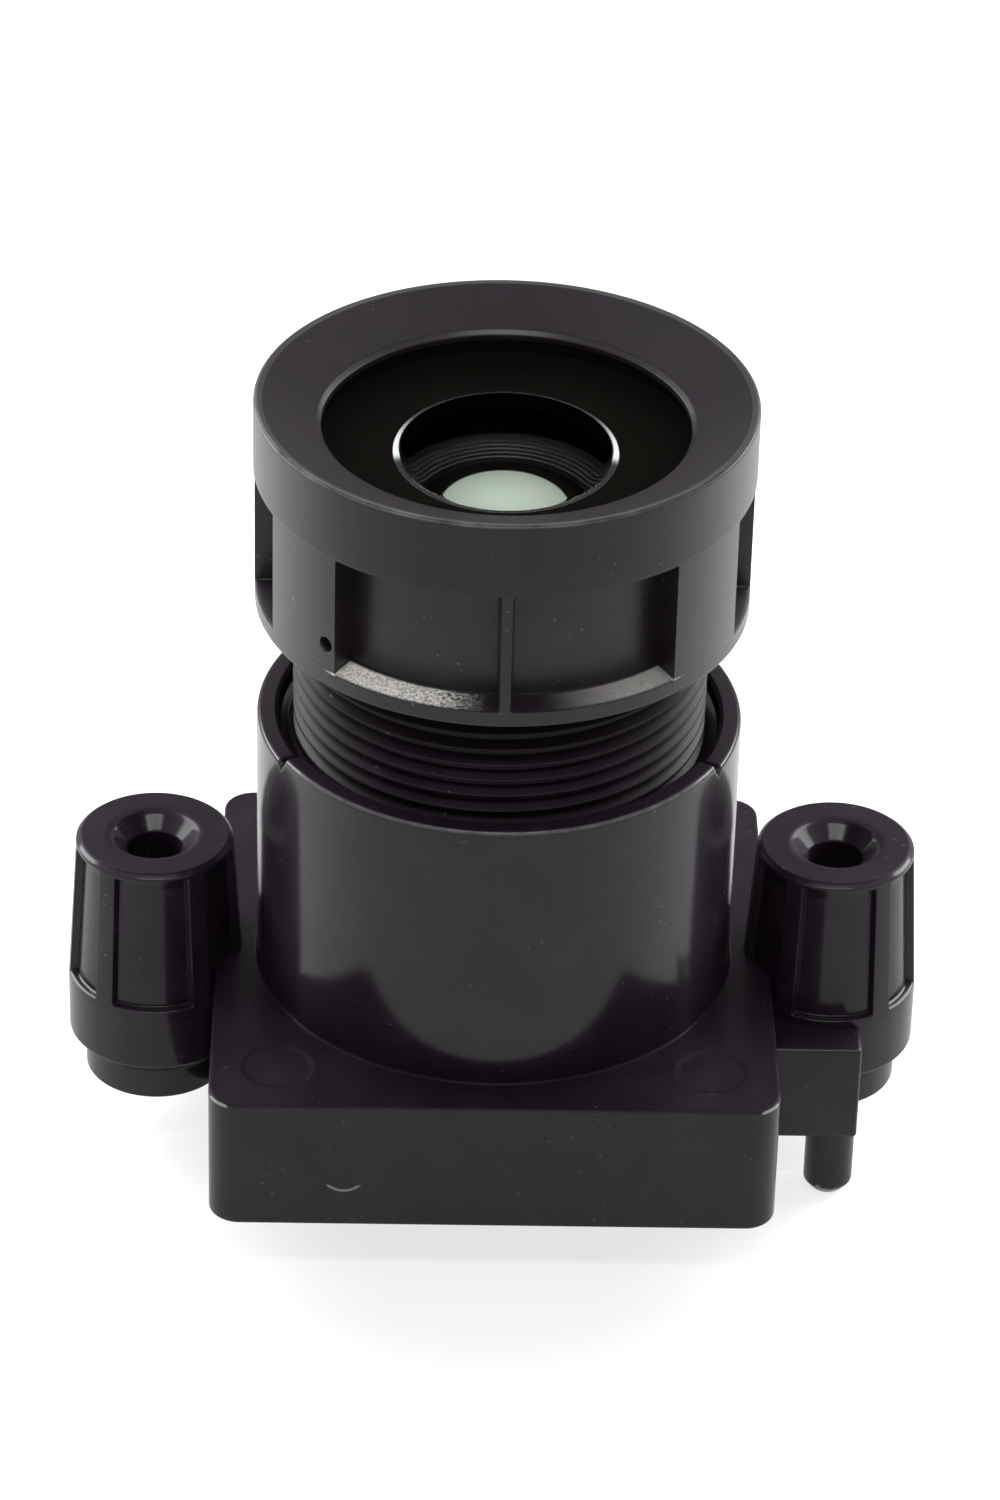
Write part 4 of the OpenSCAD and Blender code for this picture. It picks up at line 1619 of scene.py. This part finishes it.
    def retainer_shell(self) -> Shell:
        """The rear ring, its lower face cut by two spanner slots where the angle is near 0 or 180 degrees.

        Returns:
            Closed surface.
        """
        low, high = self.span("rear_retainer")
        columns = column_angles(120, [0.0, 180.0], 9.0, 25)
        line = soft_line([
            (self.retainer_bore, low, 0.05),
            (self.rear_r, low, 0.05),
            (self.rear_r, high, 0.04),
            (self.retainer_bore, high, 0.04),
        ], closed=True)
        sideways = np.abs(line[:, :1] * np.sin(np.radians(columns))[None, :])
        slot = smooth_step(sideways, self.slot_half + 0.03, self.slot_half - 0.03)
        floor = low + self.slot_depth
        z = line[:, 1:]
        z = np.where(z < floor, z + (floor - z) * slot, z)
        return shell(around(line[:, :1], z, columns), True)

    def seal_shell(self) -> Shell:
        """The rubber ring: a circle carried round the axis.

        Returns:
            Closed surface.
        """
        low, high = self.span("front_seal")
        cord, middle = (high - low) / 2.0, (low + high) / 2.0
        t = np.radians(np.arange(20) * 18.0)
        line = np.stack([self.seal_r + cord * np.cos(t), middle + cord * np.sin(t)], axis=1)
        return turned(line, 144)

    def build(self, front: Finish, painted_pupil: Finish, glass: Finish, film: Finish, metal: Finish,
              rubber: Finish) -> None:
        """Make every piece of the stack.

        Args:
            front: Glass of the front element.
            painted_pupil: Glass of the second element, its middle a painted, glowing pale disc.
            glass: Glass of the rear elements.
            film: Dead black film.
            metal: Black anodised metal.
            rubber: The seal's rubber.
        """
        edge, clear = self.rear_r, self.clear_r
        second = (self.second_dome, self.second_front_radius)
        crown = ((clear, self.crown_rear_radius), (clear, self.crown_front_radius))
        faces = {
            "second_element": (self.second_r, None, second, self.second_rear),
            "third_element": (edge, (clear, self.third_radius), None, None),
            "crown_element": (edge, *crown, None),
            "rear_element": (edge, None, (clear, self.rear_radius), None),
        }
        shells = {"front_element": self.first_shell()}
        shells.update((node, self.face_shell(node, *values)) for node, values in faces.items())
        shells["flint_element"] = self.flint_shell()
        coated = {"front_element": front, "second_element": painted_pupil}
        for node, made in shells.items():
            make_piece(node + "_glass", [made], Body.LENS, node, coated.get(node, glass))
        films = {
            "front_shield": (self.first_r, self.first_mouth),
            "aperture_stop": (edge, self.stop_r),
            "rear_shield": (edge, self.shield_r),
        }
        for node, radii in films.items():
            ring = self.ring_shell(node, *radii, self.film_round)
            make_piece(node + "_ring", [ring], Body.LENS, node, film)
        rings = {n: self.ring_shell(n, edge, self.spacer_bore, self.ring_round)
                 for n in ("spacer_ring_b", "spacer_ring_c")}
        rings.update(spacer_ring_a=self.baffle_shell(), rear_retainer=self.retainer_shell())
        for node, made in rings.items():
            make_piece(node + "_ring", [made], Body.LENS, node, metal)
        make_piece("front_seal_ring", [self.seal_shell()], Body.SEAL, "front_seal", rubber)


# The studio


@dataclass(frozen=True)
class SoftLamp:
    """A soft rectangular lamp. Its place, the point that it aims at and its size are in millimetres."""

    name: str
    spot: Point
    aim: Point
    size: Tuple[float, float]
    watts: float

    def build(self) -> None:
        """Put the lamp in the scene, hidden from the camera."""
        data = bpy.data.lights.new(self.name, "AREA")
        data.shape, data.energy = "RECTANGLE", self.watts
        data.size, data.size_y = (side * MM for side in self.size)
        lamp = bpy.data.objects.new(self.name, data)
        place, ahead = Vector(self.spot) * MM, (Vector(self.aim) - Vector(self.spot)) * MM
        lamp.matrix_world = Matrix.Translation(place) @ ahead.to_track_quat("-Z", "Y").to_matrix().to_4x4()
        lamp.visible_camera = False
        bpy.context.scene.collection.objects.link(lamp)


@dataclass
class Studio:
    """Floor, light and camera. The camera has the view of the photo."""

    floor_z: float = -2.21
    floor_half: float = 400.0
    focal_mm: float = 135.34
    sensor_mm: float = 36.0
    near_mm: float = 5.0
    far_mm: float = 20000.0
    distance: float = 163.81
    azimuth: float = -1.3008
    elevation: float = 32.686
    roll: float = 1.5265
    target: Point = (0.0551, 0.0, 11.1029)
    sky: float = 0.45
    lamps: Tuple[SoftLamp, ...] = (
        SoftLamp("pool_left", spot=(-46.0, 22.0, 28.0), aim=(-45.0, 22.0, 0.0), size=(36.0, 48.0),
                 watts=0.07),
        SoftLamp("pool_right", spot=(46.0, 22.0, 28.0), aim=(45.0, 22.0, 0.0), size=(36.0, 48.0),
                 watts=0.07),
        SoftLamp("front_strip", spot=(0.0, -140.0, 240.0), aim=(0.0, 0.0, 12.0), size=(170.0, 26.0),
                 watts=0.24),
        SoftLamp("top_back", spot=(0.0, 140.0, 240.0), aim=(0.0, 0.0, 12.0), size=(240.0, 120.0),
                 watts=0.25),
    )

    def floor(self) -> None:
        """A flat sheet under the pins."""
        side = np.array([-1.0, 1.0]) * self.floor_half
        x, y = np.meshgrid(side, side, indexing="ij")
        points = np.stack([x, y, np.full_like(x, self.floor_z)], axis=2).reshape(-1, 3) * MM
        mesh = bpy.data.meshes.new("floor")
        mesh.from_pydata(points.tolist(), [], [(0, 2, 3, 1)])
        mesh.materials.append(PaleBackdrop().build())
        sheet = bpy.data.objects.new("floor", mesh)
        bpy.context.scene.collection.objects.link(sheet)

    def world(self) -> None:
        """A white surround to the eye and in reflections, and a plain level of light."""
        world = bpy.data.worlds.new("studio")
        world.use_nodes = True
        graph = Graph(world.node_tree)
        level = self.sky + seen_rays(graph) * (1.0 - self.sky)
        white = graph.node("ShaderNodeBackground", None, {"Color": (1.0, 1.0, 1.0, 1.0), "Strength": level})
        graph.finish(white, "ShaderNodeOutputWorld")
        bpy.context.scene.world = world

    def camera(self) -> None:
        """The camera, from the azimuth, elevation, roll and distance of the photograph."""
        az, el, roll = (math.radians(v) for v in (self.azimuth, self.elevation, self.roll))
        ahead = Vector((-math.sin(az) * math.cos(el), math.cos(az) * math.cos(el), -math.sin(el)))
        right = Vector((math.cos(az), math.sin(az), 0.0))
        up = right.cross(ahead)
        right, up = right * math.cos(roll) + up * math.sin(roll), up * math.cos(roll) - right * math.sin(roll)
        place = (Vector(self.target) - ahead * self.distance) * MM
        data = bpy.data.cameras.new("camera")
        data.lens, data.sensor_width, data.sensor_fit = self.focal_mm, self.sensor_mm, "AUTO"
        data.clip_start, data.clip_end = self.near_mm * MM, self.far_mm * MM
        camera = bpy.data.objects.new("camera", data)
        turn = Matrix((right, up, -ahead)).transposed()
        camera.matrix_world = Matrix.Translation(place) @ turn.to_4x4()
        bpy.context.scene.collection.objects.link(camera)
        bpy.context.scene.camera = camera

    def build(self) -> None:
        """Set up the studio."""
        bpy.context.scene.view_settings.view_transform = "Standard"
        self.floor()
        self.world()
        self.camera()
        for lamp in self.lamps:
            lamp.build()


def main() -> None:
    """Build the studio, the holder and the lens, in that order."""
    logging.basicConfig(level=logging.INFO, format="%(name)s: %(message)s")
    Studio().build()
    LensHolder().build(HolderPlastic("holder_black").build())
    pane = LensGlass("filter_glass_pale", colour=(0.7, 0.92, 0.86))
    FilterSeat().build(pane.build(), CuredAdhesive("bead").build())
    LensHousing().build(HousingPlastic("housing_black").build())
    FrontCap().build(CapPlastic("cap_black").build())
    seat = InkedSeat(ink_r=3.0, lip_r=2.83, high_z=21.7)
    GlassStack().build(
        front=LensGlass("front_glass", ior=1.71, bare=0.0, seat=seat).build(),
        painted_pupil=PupilGlassPaintedGlow("pupil_glass_painted_glow").build(),
        glass=LensGlass("rear_glass").build(),
        film=DullBlack("shield_film", colour=(0.004, 0.0032, 0.0026), rough=0.85, shine=0.05).build(),
        metal=DullBlack("ring_anodised", colour=(0.032, 0.031, 0.033), rough=0.4, metallic=0.6).build(),
        rubber=DullBlack("seal_rubber", colour=(0.016, 0.016, 0.016), rough=0.8).build(),
    )


if __name__ == "__main__":
    main()
